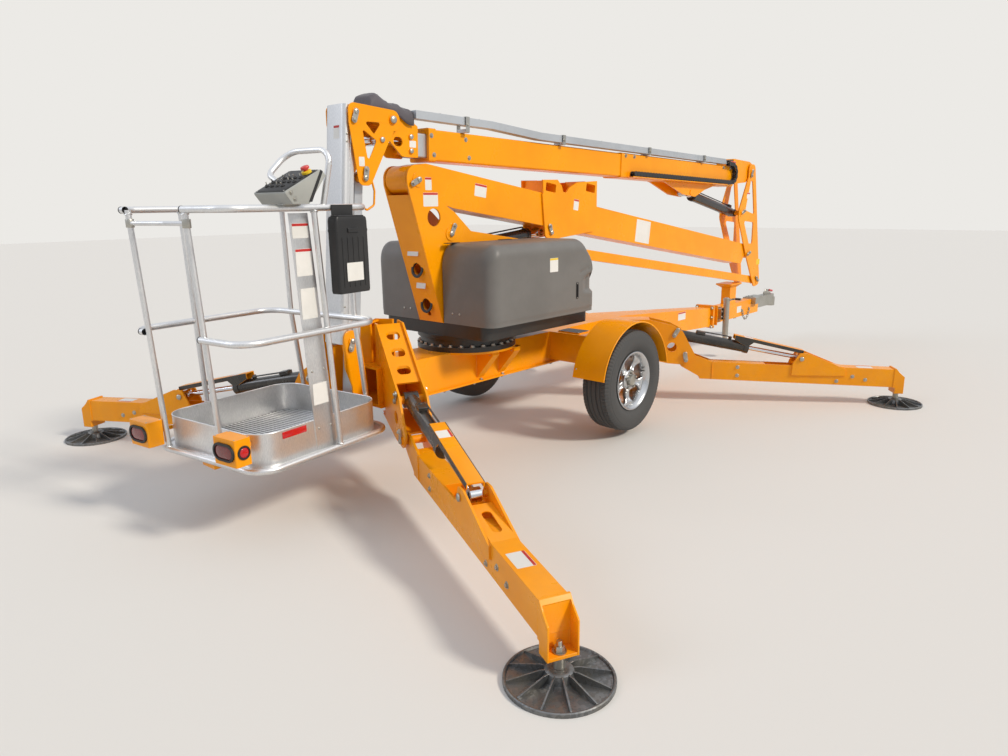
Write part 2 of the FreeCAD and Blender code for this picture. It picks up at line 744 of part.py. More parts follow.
tower.pin(-S.tower_pin_x + S.tie_dx, S.tower_pin_z - S.tie_dz, S.pin_radius,
          -S.tower_half - 8, S.tower_half + 8)
for boss_x, boss_z in (
    (-S.tower_pin_x, S.tower_pin_z),
    (-S.lift_base_x, S.lift_base_z),
    (-S.tower_pin_x + S.tie_dx, S.tower_pin_z - S.tie_dz),
):
    tower.sides(S.tower_half - 1, S.tower_half + 5, circle(boss_x, boss_z, S.pin_radius + 20))

hood = Piece("hoods")
for sign in (1, -1):
    inner, outer = sorted((sign * S.hood_inner, sign * S.hood_outer), key=float)
    hood.pad("XZ", inner, outer, polygon(
        (-S.hood_rear, S.deck_high),
        (-S.hood_front, S.deck_high),
        (-S.hood_front, S.hood_shoulder, 90),
        (-S.hood_front - 150, S.hood_top, 90),
        (-S.hood_rear, S.hood_top, S.hood_round + 12),
    ))
hood.fillet(S.hood_round, lambda e: all(
    abs(abs(v.Y) - float(S.hood_outer)) < 1e-4 for v in e.Vertexes
) and max(v.Z for v in e.Vertexes) > float(S.deck_high) + 20)

# Lower boom, in a frame along its line of pins

lower_length = derived("lower_length", root(S.lower_dx * S.lower_dx + S.lower_dz * S.lower_dz))
lower_tilt = derived("lower_tilt", slope(S.lower_dz, S.lower_dx))
tower_pin = (behind(S.tower_pin_x), 0, S.tower_pin_z)
lower_half = S.tower_half - S.plate - S.side_gap

lower_boom = Piece("lower_boom", tower_pin, (0, 1, 0), lower_tilt)
half_depth = S.lower_depth / 2
lower_boom.pad("XZ", -lower_half, lower_half, polygon(
    (0, S.tower_boss), (70, half_depth - 4), (lower_length - 70, half_depth - 33),
    (lower_length - 16, half_depth - 50), (lower_length - 136, -half_depth - 25),
    (330, -half_depth - 14), (0, -S.tower_boss)))
lower_boom.pin(0, 0, S.tower_boss, -lower_half, lower_half)
lower_boom.pin(lower_length, 0, S.link_boss - 6, -lower_half, lower_half)
lower_boom.sides(lower_half - 1, lower_half + 13, polygon(
    (1185, 93), (1262, -205, 30), (S.belly_pin_x, -S.belly_pin_z - 54, 40),
    (1400, -205, 30), (1861, -100), (1889, 93)))
# Rest for the upper boom, a pair of crown shaped plates with two box tubes across
lower_boom.sides(lower_half - 1, lower_half + 13, polygon(
    (1202, 60), (1179, 189), (1350, 217, 12), (1446, 151, 30), (1590, 235, 12),
    (1845, 286), (1878, 60)))
for tube_x, tube_z in ((1277, 151), (1768, 222)):
    lower_boom.pad("XZ", -lower_half - 2, lower_half + 2, rectangle(
        tube_x - 72, tube_z - 45, tube_x + 72, tube_z + 38))
lower_boom.pad("XZ", -lower_half - 2, lower_half + 2, rectangle(1215, 90, 1235, 120))
lower_boom.pad("XZ", -lower_half - 2, lower_half + 2, rectangle(1700, 90, 1840, 182))
lower_boom.cut("XZ", -S.tower_half, S.tower_half, circle(0, 0, S.pin_radius + S.rim_gap))
lower_boom.cut("XZ", -S.tower_half, S.tower_half, circle(lower_length, 0, S.pin_radius + S.rim_gap))
lower_boom.sides(lower_half - 20, lower_half + 18, circle(S.belly_pin_x, -S.belly_pin_z, S.pin_radius))
lower_boom.cut("XZ", -lower_half + 8, lower_half - 8, rectangle(
    1180, -S.belly_pin_z - 90, 1900, -half_depth - 45))

tie_bar = Piece("tie_bar", (behind(S.tower_pin_x - S.tie_dx), 0, S.tower_pin_z - S.tie_dz),
                (0, 1, 0), lower_tilt)
tie_low = -S.tie_side - S.tie_width / 2
tie_high = -S.tie_side + S.tie_width / 2
tie_bar.pad("XZ", tie_low, tie_high, rectangle(
    0, -S.tie_height / 2, lower_length, S.tie_height / 2))
for end_x in (size(0), lower_length):
    tie_bar.pin(end_x, 0, S.tie_height / 2 + 3, tie_low, tie_high)
for end_x in (size(0), lower_length):
    tie_bar.cut("XZ", tie_low - 1, tie_high + 1, circle(end_x, 0, S.pin_radius + S.rim_gap))

# Link between the lower and the upper boom

front_pin_x = derived("front_pin_x", S.lower_dx - S.tower_pin_x)
front_pin_z = derived("front_pin_z", S.tower_pin_z - S.lower_dz)
link = Piece("link", (AXLE + front_pin_x, 0, front_pin_z))
boss = S.link_boss
top_x, top_z = -S.link_dx, S.link_dz
elbow_x, elbow_z = -S.elbow_dx, S.elbow_dz
foot_x, foot_z = S.tie_dx, -S.tie_dz
link.sides(S.tower_half - S.plate, S.tower_half, polygon(
    (top_x - boss, top_z - 60), (top_x - boss, top_z + boss, boss - 6),
    (top_x + boss + 10, top_z + boss, boss - 6),
    (foot_x + boss + 4, foot_z - boss + 20, boss - 8),
    (foot_x - boss - 10, foot_z - boss, boss - 8),
    (-76, -30, 90),
    (elbow_x - 66, elbow_z - 52, 60),
    (elbow_x - 56, elbow_z + 40, 60),
))
# Cut-outs that leave a truss
link.cut("XZ", -S.tower_half - 1, S.tower_half + 1, polygon(
    (top_x - 6, top_z - 92, 12), (top_x + 44, top_z - 112, 12),
    (top_x + 128, elbow_z - 22, 20), (elbow_x + 92, elbow_z + 26, 20)))
link.cut("XZ", -S.tower_half - 1, S.tower_half + 1, polygon(
    (elbow_x + 66, elbow_z - 84, 20), (top_x + 120, elbow_z - 106, 20), (64, 92, 20), (-24, 92, 20)))
for pin_x, pin_z in ((top_x, top_z), (elbow_x, elbow_z), (size(0), size(0)), (foot_x, foot_z)):
    link.pin(pin_x, pin_z, S.pin_radius, -S.tower_half - 8, S.tower_half + 8)
    link.sides(S.tower_half - 1, S.tower_half + 4, circle(pin_x, pin_z, S.pin_radius + 18))


def cylinder(name, direction, length, barrel_end, rod_start, bore, rod, width, side=0, eye=38):
    """A hydraulic cylinder as barrel and rod, in a frame along its line of pins."""
    place, axis, turn = direction
    low, high = size(side) - width / 2, size(side) + width / 2
    barrel = Piece(f"{name}_barrel", place, axis, turn)
    barrel.pin(0, 0, eye, low, high)
    barrel.pad("YZ", 0, 50, circle(side, 0, bore / 2 - 6))
    barrel.pad("YZ", 50, barrel_end, circle(side, 0, bore / 2))
    barrel.pad("YZ", barrel_end - 34, barrel_end, circle(side, 0, bore / 2 + 4))
    barrel.cut("YZ", 52, size(barrel_end) + 2, circle(side, 0, rod / 2 + S.pad_gap))
    barrel.cut("XZ", low - 12, high + 12, circle(0, 0, S.pin_radius + S.rim_gap))
    moving = Piece(f"{name}_rod", place, axis, turn)
    moving.pad("YZ", rod_start, length, circle(side, 0, rod / 2))
    moving.pin(length, 0, eye - 2, low, high)
    moving.cut("XZ", low - 1, high + 1, circle(length, 0, S.pin_radius + S.rim_gap))
    return barrel, moving


# Lift cylinder of the lower boom

pin_world_x = -S.tower_pin_x + S.belly_pin_x * cosine(lower_tilt) - S.belly_pin_z * sine(lower_tilt)
pin_world_z = S.tower_pin_z - S.belly_pin_x * sine(lower_tilt) - S.belly_pin_z * cosine(lower_tilt)
lift_dx = derived("lift_dx", pin_world_x + S.lift_base_x)
lift_dz = derived("lift_dz", pin_world_z - S.lift_base_z)
lower_lift_length = derived("lower_lift_length", root(lift_dx * lift_dx + lift_dz * lift_dz))
cylinder("lower_lift", ((behind(S.lift_base_x), 0, S.lift_base_z), (0, 1, 0),
         -slope(lift_dz, lift_dx)), lower_lift_length, lower_lift_length - 130, 60, S.lift_bore,
         S.lift_rod, 70, S.lift_side)

# Upper boom, in a frame that leans back from its pivot on the link

boom_pivot_x = derived("boom_pivot_x", front_pin_x - S.link_dx)
boom_pivot_z = derived("boom_pivot_z", front_pin_z + S.link_dz)
boom_place = (AXLE + boom_pivot_x, 0, boom_pivot_z)

upper_boom = Piece("upper_boom", boom_place, (0, 1, 0), S.boom_tilt)
wall = S.outer_wall
upper_boom.pad("YZ", -S.outer_rear, -S.sleeve_front - 40,
    rectangle(-S.outer_half, -S.outer_low, S.outer_half, S.outer_top, 14),
    rectangle(wall - S.outer_half, wall - S.outer_low, S.outer_half - wall, S.outer_top - wall, 7))
sleeve_half = S.outer_half + S.sleeve_wall
upper_boom.pad("YZ", -S.sleeve_rear, -S.sleeve_front,
    rectangle(-sleeve_half, -S.outer_low - S.sleeve_wall, sleeve_half, S.outer_top + 5, 16),
    rectangle(1 - S.outer_half, 1 - S.outer_low, S.outer_half - 1, S.outer_top - 1, 10))
upper_boom.pad("XZ", -sleeve_half, sleeve_half, polygon(
    (-S.sleeve_front - 20, -150), (-90, -120, 40), (-14, -62, 30), (S.head_front, -40, 36),
    (S.head_front, 62, 56), (-30, 92, 40), (-S.sleeve_front - 20, 100, 10)))
upper_boom.pad("YZ", -S.outer_rear, -S.outer_rear + 60,
    rectangle(-S.outer_half - 6, -S.outer_low - 6, S.outer_half + 6, S.outer_top + 6, 14),
    rectangle(1 - S.outer_half, 1 - S.outer_low, S.outer_half - 1, S.outer_top - 1, 10))
# Slide pads that guide the inner boom
for low_x in (-S.outer_rear, -S.outer_rear + 320):
    upper_boom.pad("YZ", low_x + 4, low_x + 84,
        rectangle(wall - S.outer_half - 1, wall - S.outer_low - 1,
                  S.outer_half - wall + 1, S.outer_top - wall + 1),
        rectangle(-S.inner_half - S.pad_gap, -S.inner_low - S.pad_gap,
                  S.inner_half + S.pad_gap, -S.inner_top + S.pad_gap))
upper_boom.sides(sleeve_half - 22, sleeve_half - 8, polygon(
    (-1790, -S.outer_low - 4), (-1420, -S.outer_low - 112, 50), (-1180, -S.outer_low - 128, 50),
    (-1000, -S.outer_low - 60, 50), (-750, -S.outer_low - 4)))
upper_boom.sides(sleeve_half - 40, sleeve_half - 2, circle(-S.rod_pin_x, -S.rod_pin_z, S.pin_radius))
upper_boom.cut("XZ", -sleeve_half - 1, sleeve_half + 1, circle(0, 0, S.pin_radius + S.rim_gap))

cable_tray = Piece("cable_tray", boom_place, (0, 1, 0), S.boom_tilt)
cable_tray.pad("XZ", -112, -46, polygon(
    (-620, 34), (-700, 34), (-3560, 34), (-4060, 62), (-4720, 62), (-4720, 110), (-4060, 110),
    (-3560, 84), (-640, 84, 20), (-612, 44)))
for clamp_x in (-4300, -3300, -2100, -1100):
    seat = S.outer_top + 5 if clamp_x > -float(S.sleeve_rear) else S.outer_top
    cable_tray.pad("XZ", -118, -40, rectangle(clamp_x - 16, seat, clamp_x + 16, 40))

energy_chain = Piece("energy_chain", boom_place, (0, 1, 0), S.boom_tilt)
energy_chain.pad("XZ", -142, -96, polygon(
    (-2380, -158), (-560, -158, 8), (-430, -150, 50), (-398, -60, 50), (-428, 34, 40), (-560, 60, 20),
    (-612, 58), (-612, 20), (-560, 16, 20), (-470, 0, 30), (-446, -60, 30), (-480, -112, 40),
    (-600, -118, 8), (-2380, -118)))
energy_chain.pad("XZ", -150, -sleeve_half, rectangle(-2400, -170, -640, -157))
energy_chain.pad("XZ", -96.5, -sleeve_half, rectangle(-2400, -158, -640, -124))

inner_boom = Piece("inner_boom", boom_place, (0, 1, 0), S.boom_tilt)
inner_boom.pad("YZ", -S.inner_rear, -S.inner_front,
    rectangle(-S.inner_half, -S.inner_low, S.inner_half, -S.inner_top, 10),
    rectangle(6 - S.inner_half, 6 - S.inner_low, S.inner_half - 6, -S.inner_top - 6, 5))

boom_head = Piece("boom_head", boom_place, (0, 1, 0), S.boom_tilt)
plate_in = S.head_half - S.plate
boom_head.sides(plate_in, S.head_half, polygon(
    (-S.inner_rear + 20, -S.inner_low - 6, 10), (-S.inner_rear + 20, 24, 10),
    (-S.knuckle_x + 50, S.knuckle_z + 64, 40), (-S.knuckle_x - 66, S.knuckle_z + 64, 50),
    (-S.knuckle_x - 62, S.knuckle_z - 60, 40), (-S.knuckle_x + 90, -S.inner_low - 6, 30)))
boom_head.sides(S.inner_half, plate_in + 1, rectangle(
    -S.inner_rear + 4, -S.inner_low + 10, -S.inner_rear + 18, -20))
boom_head.cut("XZ", -S.head_half - 1, S.head_half + 1, polygon(
    (-4800, -100, 24), (-4800, -48, 24), (-4866, -48, 24), (-4866, -100, 24)))
for pin_x, pin_z in ((-4738, -40), (-4738, -120)):
    boom_head.pin(pin_x, pin_z, 16, -S.head_half - 8, S.head_half + 8)
boom_head.pin(-S.knuckle_x, S.knuckle_z, S.pin_radius, -S.head_half - 36, S.head_half + 36)

# Upper lift cylinder between the link and the upper boom

eye_x = boom_pivot_x - S.rod_pin_x * cosine(S.boom_tilt) - S.rod_pin_z * sine(S.boom_tilt)
eye_z = boom_pivot_z + S.rod_pin_x * sine(S.boom_tilt) - S.rod_pin_z * cosine(S.boom_tilt)
elbow_world_x = front_pin_x - S.elbow_dx
elbow_world_z = front_pin_z + S.elbow_dz
upper_dx = derived("upper_dx", elbow_world_x - eye_x)
upper_dz = derived("upper_dz", eye_z - elbow_world_z)
upper_lift_length = derived("upper_lift_length", root(upper_dx * upper_dx + upper_dz * upper_dz))
upper_tilt = slope(upper_dz, upper_dx)
cylinder("upper_lift", ((AXLE + elbow_world_x, 0, elbow_world_z), (0, 1, 0),
         upper_tilt - 180), upper_lift_length, upper_lift_length - 170, 60, S.lift_bore,
         S.lift_rod, 76)

# Knuckle and jib

knuckle_world_x = derived("knuckle_world_x", boom_pivot_x - S.knuckle_x * cosine(S.boom_tilt)
                          + S.knuckle_z * sine(S.boom_tilt))
knuckle_world_z = derived("knuckle_world_z", boom_pivot_z + S.knuckle_x * sine(S.boom_tilt)
                          + S.knuckle_z * cosine(S.boom_tilt))
knuckle = Piece("knuckle", (AXLE + knuckle_world_x, 0, knuckle_world_z))
jib_x = -S.jib_pin_x - knuckle_world_x
jib_z = S.jib_pin_z - knuckle_world_z
knuckle_in = S.mast_half + S.side_gap
knuckle_out = knuckle_in + S.plate
knuckle.sides(knuckle_in, knuckle_out, polygon(
    (58, 58, 50), (jib_x - 52, jib_z + 58, 50), (jib_x - 58, jib_z - 60, 60),
    (jib_x + S.jib_tie_dx - 50, jib_z - S.jib_tie_dz - 50, 44),
    (jib_x + S.jib_tie_dx + 60, jib_z - S.jib_tie_dz - 46, 44),
    (-S.level_dx + 50, -S.level_dz - 50, 40), (56, -56, 50)))
knuckle.cut("XZ", -knuckle_out - 1, knuckle_out + 1, polygon(
    (-72, -16, 12), (jib_x + 52, jib_z - 34, 12), (jib_x + 62, jib_z - 120, 12), (-132, -92, 12)))
knuckle.cut("XZ", -knuckle_out - 1, knuckle_out + 1, polygon(
    (-122, -176, 12), (jib_x + 66, jib_z - 166, 12), (jib_x + 78, jib_z - 262, 12)))
knuckle.cut("XZ", -knuckle_out - 1, knuckle_out + 1, circle(0, 0, S.pin_radius + S.rim_gap))
for pin_x, pin_z in ((jib_x, jib_z), (jib_x + S.jib_tie_dx, jib_z - S.jib_tie_dz)):
    knuckle.pin(pin_x, pin_z, S.pin_radius, -knuckle_out - 6, knuckle_out + 6)
knuckle.sides(knuckle_in - S.side_gap, knuckle_out + 4, circle(-S.level_dx, -S.level_dz, 18))

level_barrel = Piece("level_cylinder", boom_place, (0, 1, 0), S.boom_tilt)
level_z = -75
level_barrel.pad("YZ", -4640, -4150, circle(0, level_z, 32), circle(0, level_z, 16.3))
level_barrel.pad("YZ", -4150, -4130, rectangle(
    6.4 - S.inner_half, -S.inner_low + 6.4, S.inner_half - 6.4, -S.inner_top - 6.4, 6))
level_rod = Piece("level_rod", boom_place, (0, 1, 0), S.boom_tilt)
level_rod.pad("YZ", -4950, -4420, circle(0, level_z, 16))
level_rod.pin(-4972, level_z, 30, -30, 30)
level_rod.cut("XZ", -31, 31, circle(-4972, level_z, 20))

jib_place = (behind(S.jib_pin_x), 0, S.jib_pin_z)
jib_mast = Piece("jib_mast", jib_place, (0, 1, 0), S.jib_lean)
jib_mast.pad("XZ", -S.mast_half, S.mast_half, polygon(
    (-62, -S.jib_length - 20, 12), (12, -S.jib_length - 20, 12), (12, 20), (-20, 37, 20),
    (-62, 37, 20)))
for pin_z in (size(0), -S.jib_length):
    jib_mast.pin(0, pin_z, 42, -S.mast_half, S.mast_half)
for pin_z in (size(0), -S.jib_length):
    jib_mast.cut("XZ", -S.mast_half - 1, S.mast_half + 1, circle(0, pin_z, S.pin_radius + S.rim_gap))

tie_x = behind(S.jib_pin_x - S.jib_tie_dx)
jib_tie = Piece("jib_tie", (tie_x, 0, S.jib_pin_z - S.jib_tie_dz), (0, 1, 0), S.jib_lean)
jib_tie.pad("XZ", -S.jib_tie_half, S.jib_tie_half, rectangle(-26, -S.jib_length, 30, 0))
for pin_z in (size(0), -S.jib_length):
    jib_tie.pin(0, pin_z, 36, -S.jib_tie_half, S.jib_tie_half)
for pin_z in (size(0), -S.jib_length):
    jib_tie.cut("XZ", -S.jib_tie_half - 1, S.jib_tie_half + 1,
                circle(0, pin_z, S.pin_radius + S.rim_gap))

# Basket, level on the jib's lower pins

low_x = derived("bracket_x", -S.jib_pin_x - S.jib_length * sine(S.jib_lean))
low_z = derived("bracket_z", S.jib_pin_z - S.jib_length * cosine(S.jib_lean))
basket_bracket = Piece("basket_bracket", (AXLE + low_x, 0, low_z))
basket_bracket.sides(knuckle_in, knuckle_out, polygon(
    (-56, 62, 50), (48, 62, 50), (62, -20, 40), (S.jib_tie_dx + 52, -S.jib_tie_dz + 60, 40),
    (S.jib_tie_dx + 50, -S.jib_tie_dz - 60, 20), (-14, -S.jib_tie_dz - 60, 12),
    (-14, -S.jib_tie_dz + 80, 60), (-56, -150, 60)))
for pin_x, pin_z in ((size(0), size(0)), (S.jib_tie_dx, -S.jib_tie_dz)):
    basket_bracket.pin(pin_x, pin_z, S.pin_radius, -knuckle_out - 6, knuckle_out + 6)
beam_high = S.basket_low - S.rail_radius - 6 - low_z
beam_low = beam_high - 46
# The foot plates leave the middle open, where the jib's tie swings down past the pin
foot_half = S.jib_tie_half + S.side_gap
basket_bracket.sides(foot_half, knuckle_out, rectangle(
    30, -S.jib_tie_dz - 59, S.jib_tie_dx + 48, -S.jib_tie_dz - 47))
basket_bracket.pad("XY", beam_low, beam_high, rectangle(
    -860, -foot_half - S.plate, S.jib_tie_dx + 52, foot_half + S.plate))
basket_bracket.sides(foot_half, foot_half + S.plate, rectangle(
    34, beam_low + 1, S.jib_tie_dx + 51, -S.jib_tie_dz - 50))
for foot_x in (-760, -460, -160):
    basket_bracket.pad("XY", beam_high - 1, S.basket_low - low_z - 5, rectangle(
        foot_x - 30, -58, foot_x + 30, 58))

basket_place = (behind(S.basket_x), 0, S.basket_low)
tray = Piece("basket_tray", basket_place, (0, 0, 1), S.basket_turn)
half_x, half_y, bend = S.basket_half_x, S.basket_half_y, S.rail_bend
tray.pad("XY", S.rail_radius + 1, S.kick_height,
    rectangle(34 - half_x, 34 - half_y, half_x - 34, half_y - 34, bend),
    rectangle(37 - half_x, 37 - half_y, half_x - 37, half_y - 37, bend - 3))
tray.pad("XY", -5, 4,
    rectangle(S.rail_radius - half_x, S.rail_radius - half_y,
              half_x - S.rail_radius, half_y - S.rail_radius, bend - S.rail_radius))
tray.pad("XY", 4, S.rail_radius + 2,
    rectangle(34 - half_x, 34 - half_y, half_x - 34, half_y - 34, bend),
    rectangle(37 - half_x, 37 - half_y, half_x - 37, half_y - 37, bend - 3))
tray.pad("XZ", -half_y + 30, -half_y + 36, polygon(
    (-70, 8), (62, 8), (-24, S.top_rail - 24), (-140, S.top_rail - 24)))


def ring(x0, y0, x1, y1, z, radius):
    """A closed rail, rounded at its corners."""
    corners = [(x0, y0, z), (x1, y0, z), (x1, y1, z), (x0, y1, z)]
    return tube(corners, radius, S.rail_radius, closed=True)


rail = float(S.rail_radius)
hx, hy = float(half_x), float(half_y)
mid_z, top_z_rail = float(S.mid_rail), float(S.top_rail)
bottom = ring(-hx, -hy, hx, hy, 0, float(bend))
bars = [bottom]
# Mid and top rails stand out past the posts and are open at the entry
bars.append(tube([
    (-hx - 40, -130, mid_z), (-hx - 40, -hy - 16, mid_z), (hx - 76, -hy - 16, mid_z),
    (hx - 76, hy + 10, mid_z), (-hx - 40, hy + 10, mid_z), (-hx - 40, hy - 70, mid_z)],
    [0, 110, 110, 110, 110, 0], rail))
bars.append(tube([
    (-hx - 60, -130, top_z_rail), (-hx - 60, -hy - 10, top_z_rail),
    (hx - 80, -hy - 10, top_z_rail), (hx - 80, hy + 10, top_z_rail),
    (-hx - 60, hy + 10, top_z_rail), (-hx - 60, hy - 70, top_z_rail)],
    [0, 110, 110, 110, 110, 0], rail))
for path in (
    [(-hx, hy - 120, 0), (-hx - 60, hy - 120, top_z_rail)],
    [(-hx, -150, 0), (-hx - 60, -150, top_z_rail)],
    [(-120, hy, 0), (-150, hy + 10, top_z_rail)],
    [(60, -hy, 0), (-20, -hy - 10, top_z_rail)],
    [(hx, -260, 0), (hx - 72, -260, mid_z), (hx - 80, -260, top_z_rail)],
    [(hx, 260, 0), (hx - 72, 260, mid_z), (hx - 80, 260, top_z_rail)],
):
    bars.append(tube(path, 200, rail - 2.5))
bars.append(tube([
    (-hx - 56, -150, top_z_rail - 62), (-hx - 30, 60, top_z_rail - 62),
    (-hx - 56, hy - 120, top_z_rail - 62)], [0, 60, 0], rail - 5.5))
basket_rails = formed("basket_rails", bars[0].multiFuse(bars[1:]), basket_place, (0, 0, 1), S.basket_turn)


lamps = Piece("tail_lamps", basket_place, (0, 0, 1), S.basket_turn)
for sign, lamp_y, lamp_z in ((-1, 330, 130), (1, 380, 100)):
    lamp_y, near_y = size(lamp_y), size(lamp_y - 40)
    low, high = sorted((sign * (lamp_y - 82), sign * (lamp_y + 82)), key=float)
    lamps.pad("XY", lamp_z - 66, lamp_z + 66, rectangle(-560, low, -half_x - 24, high, 10))
    # The bracket ends on the rounded corner of the kick plate
    drop = near_y - (half_y - 34 - bend)
    kick_x = -(half_x - 34 - bend) - root(bend * bend - drop * drop)
    low, high = sorted((sign * near_y, sign * lamp_y), key=float)
    lamps.pad("XY", lamp_z - 10, lamp_z + 10, rectangle(-half_x - 26, low, kick_x, high))

console = Piece("console", basket_place, (0, 0, 1), S.basket_turn)
rail_crown = S.top_rail + S.rail_radius
console.pad("XZ", -half_y - 90, -half_y + 130, polygon(
    (-250, rail_crown, 12), (80, rail_crown, 12), (60, S.top_rail + 110, 20),
    (-200, S.top_rail + 180, 20), (-262, S.top_rail + 120, 20)))

document_box = Piece("document_box", basket_place, (0, 0, 1), S.basket_turn)
document_box.pad("XY", 800, 1172, rectangle(36, -half_y - 96, 250, -half_y - 30, 14))
rail_side = -half_y - 10 - S.rail_radius
document_box.pad("XY", 1150, S.top_rail + 14, rectangle(70, rail_side - 7, 216, rail_side))

cover = Piece("boom_cover", boom_place, (0, 1, 0), S.boom_tilt)
cover_low = S.knuckle_z + 30
cover.pad("YZ", -5040, -4726, rectangle(
    -S.head_half - 8, cover_low, S.head_half + 8, S.knuckle_z + 110, 22))
cover.cut("YZ", -5041, -4750, rectangle(
    -S.head_half - 1, cover_low - 1, S.head_half + 1, S.knuckle_z + 64))

# Outriggers, each in a frame along its own arm

CORNERS = [
    ("rear_left", -1, 1, S.rear_hinge_x, S.rear_hinge_y, S.rear_pad_x, S.rear_pad_y),
    ("rear_right", -1, -1, S.rear_hinge_x, S.rear_hinge_y, S.rear_pad_x, S.rear_pad_y),
    ("front_left", 1, 1, S.front_hinge_x, S.front_hinge_y, S.front_pad_x, S.front_pad_y),
    ("front_right", 1, -1, S.front_hinge_x, S.front_hinge_y, S.front_pad_x, S.front_pad_y),
]


class Arm:
    """The upright plane of one outrigger, from its hinge out to its foot."""

    def __init__(self, name, along, across, hinge_x, hinge_y, pad_x, pad_y):
        self.hinge_x, self.hinge_y = hinge_x * along, hinge_y * across
        run_x, run_y = (pad_x - hinge_x) * along, (pad_y - hinge_y) * across
        self.reach = derived(f"{name}_reach", root(run_x * run_x + run_y * run_y))
        self.turn = derived(f"{name}_turn", slope(run_y, run_x))
        self.cos = derived(f"{name}_cosine", run_x / self.reach)
        self.sin = derived(f"{name}_sine", run_y / self.reach)

    def place(self, height):
        return (AXLE + self.hinge_x, self.hinge_y, height)

    def local(self, x, y):
        """A point of the machine, seen from the hinge along the arm."""
        dx, dy = size(x) - self.hinge_x, size(y) - self.hinge_y
        return (dx * self.cos + dy * self.sin, dy * self.cos - dx * self.sin)


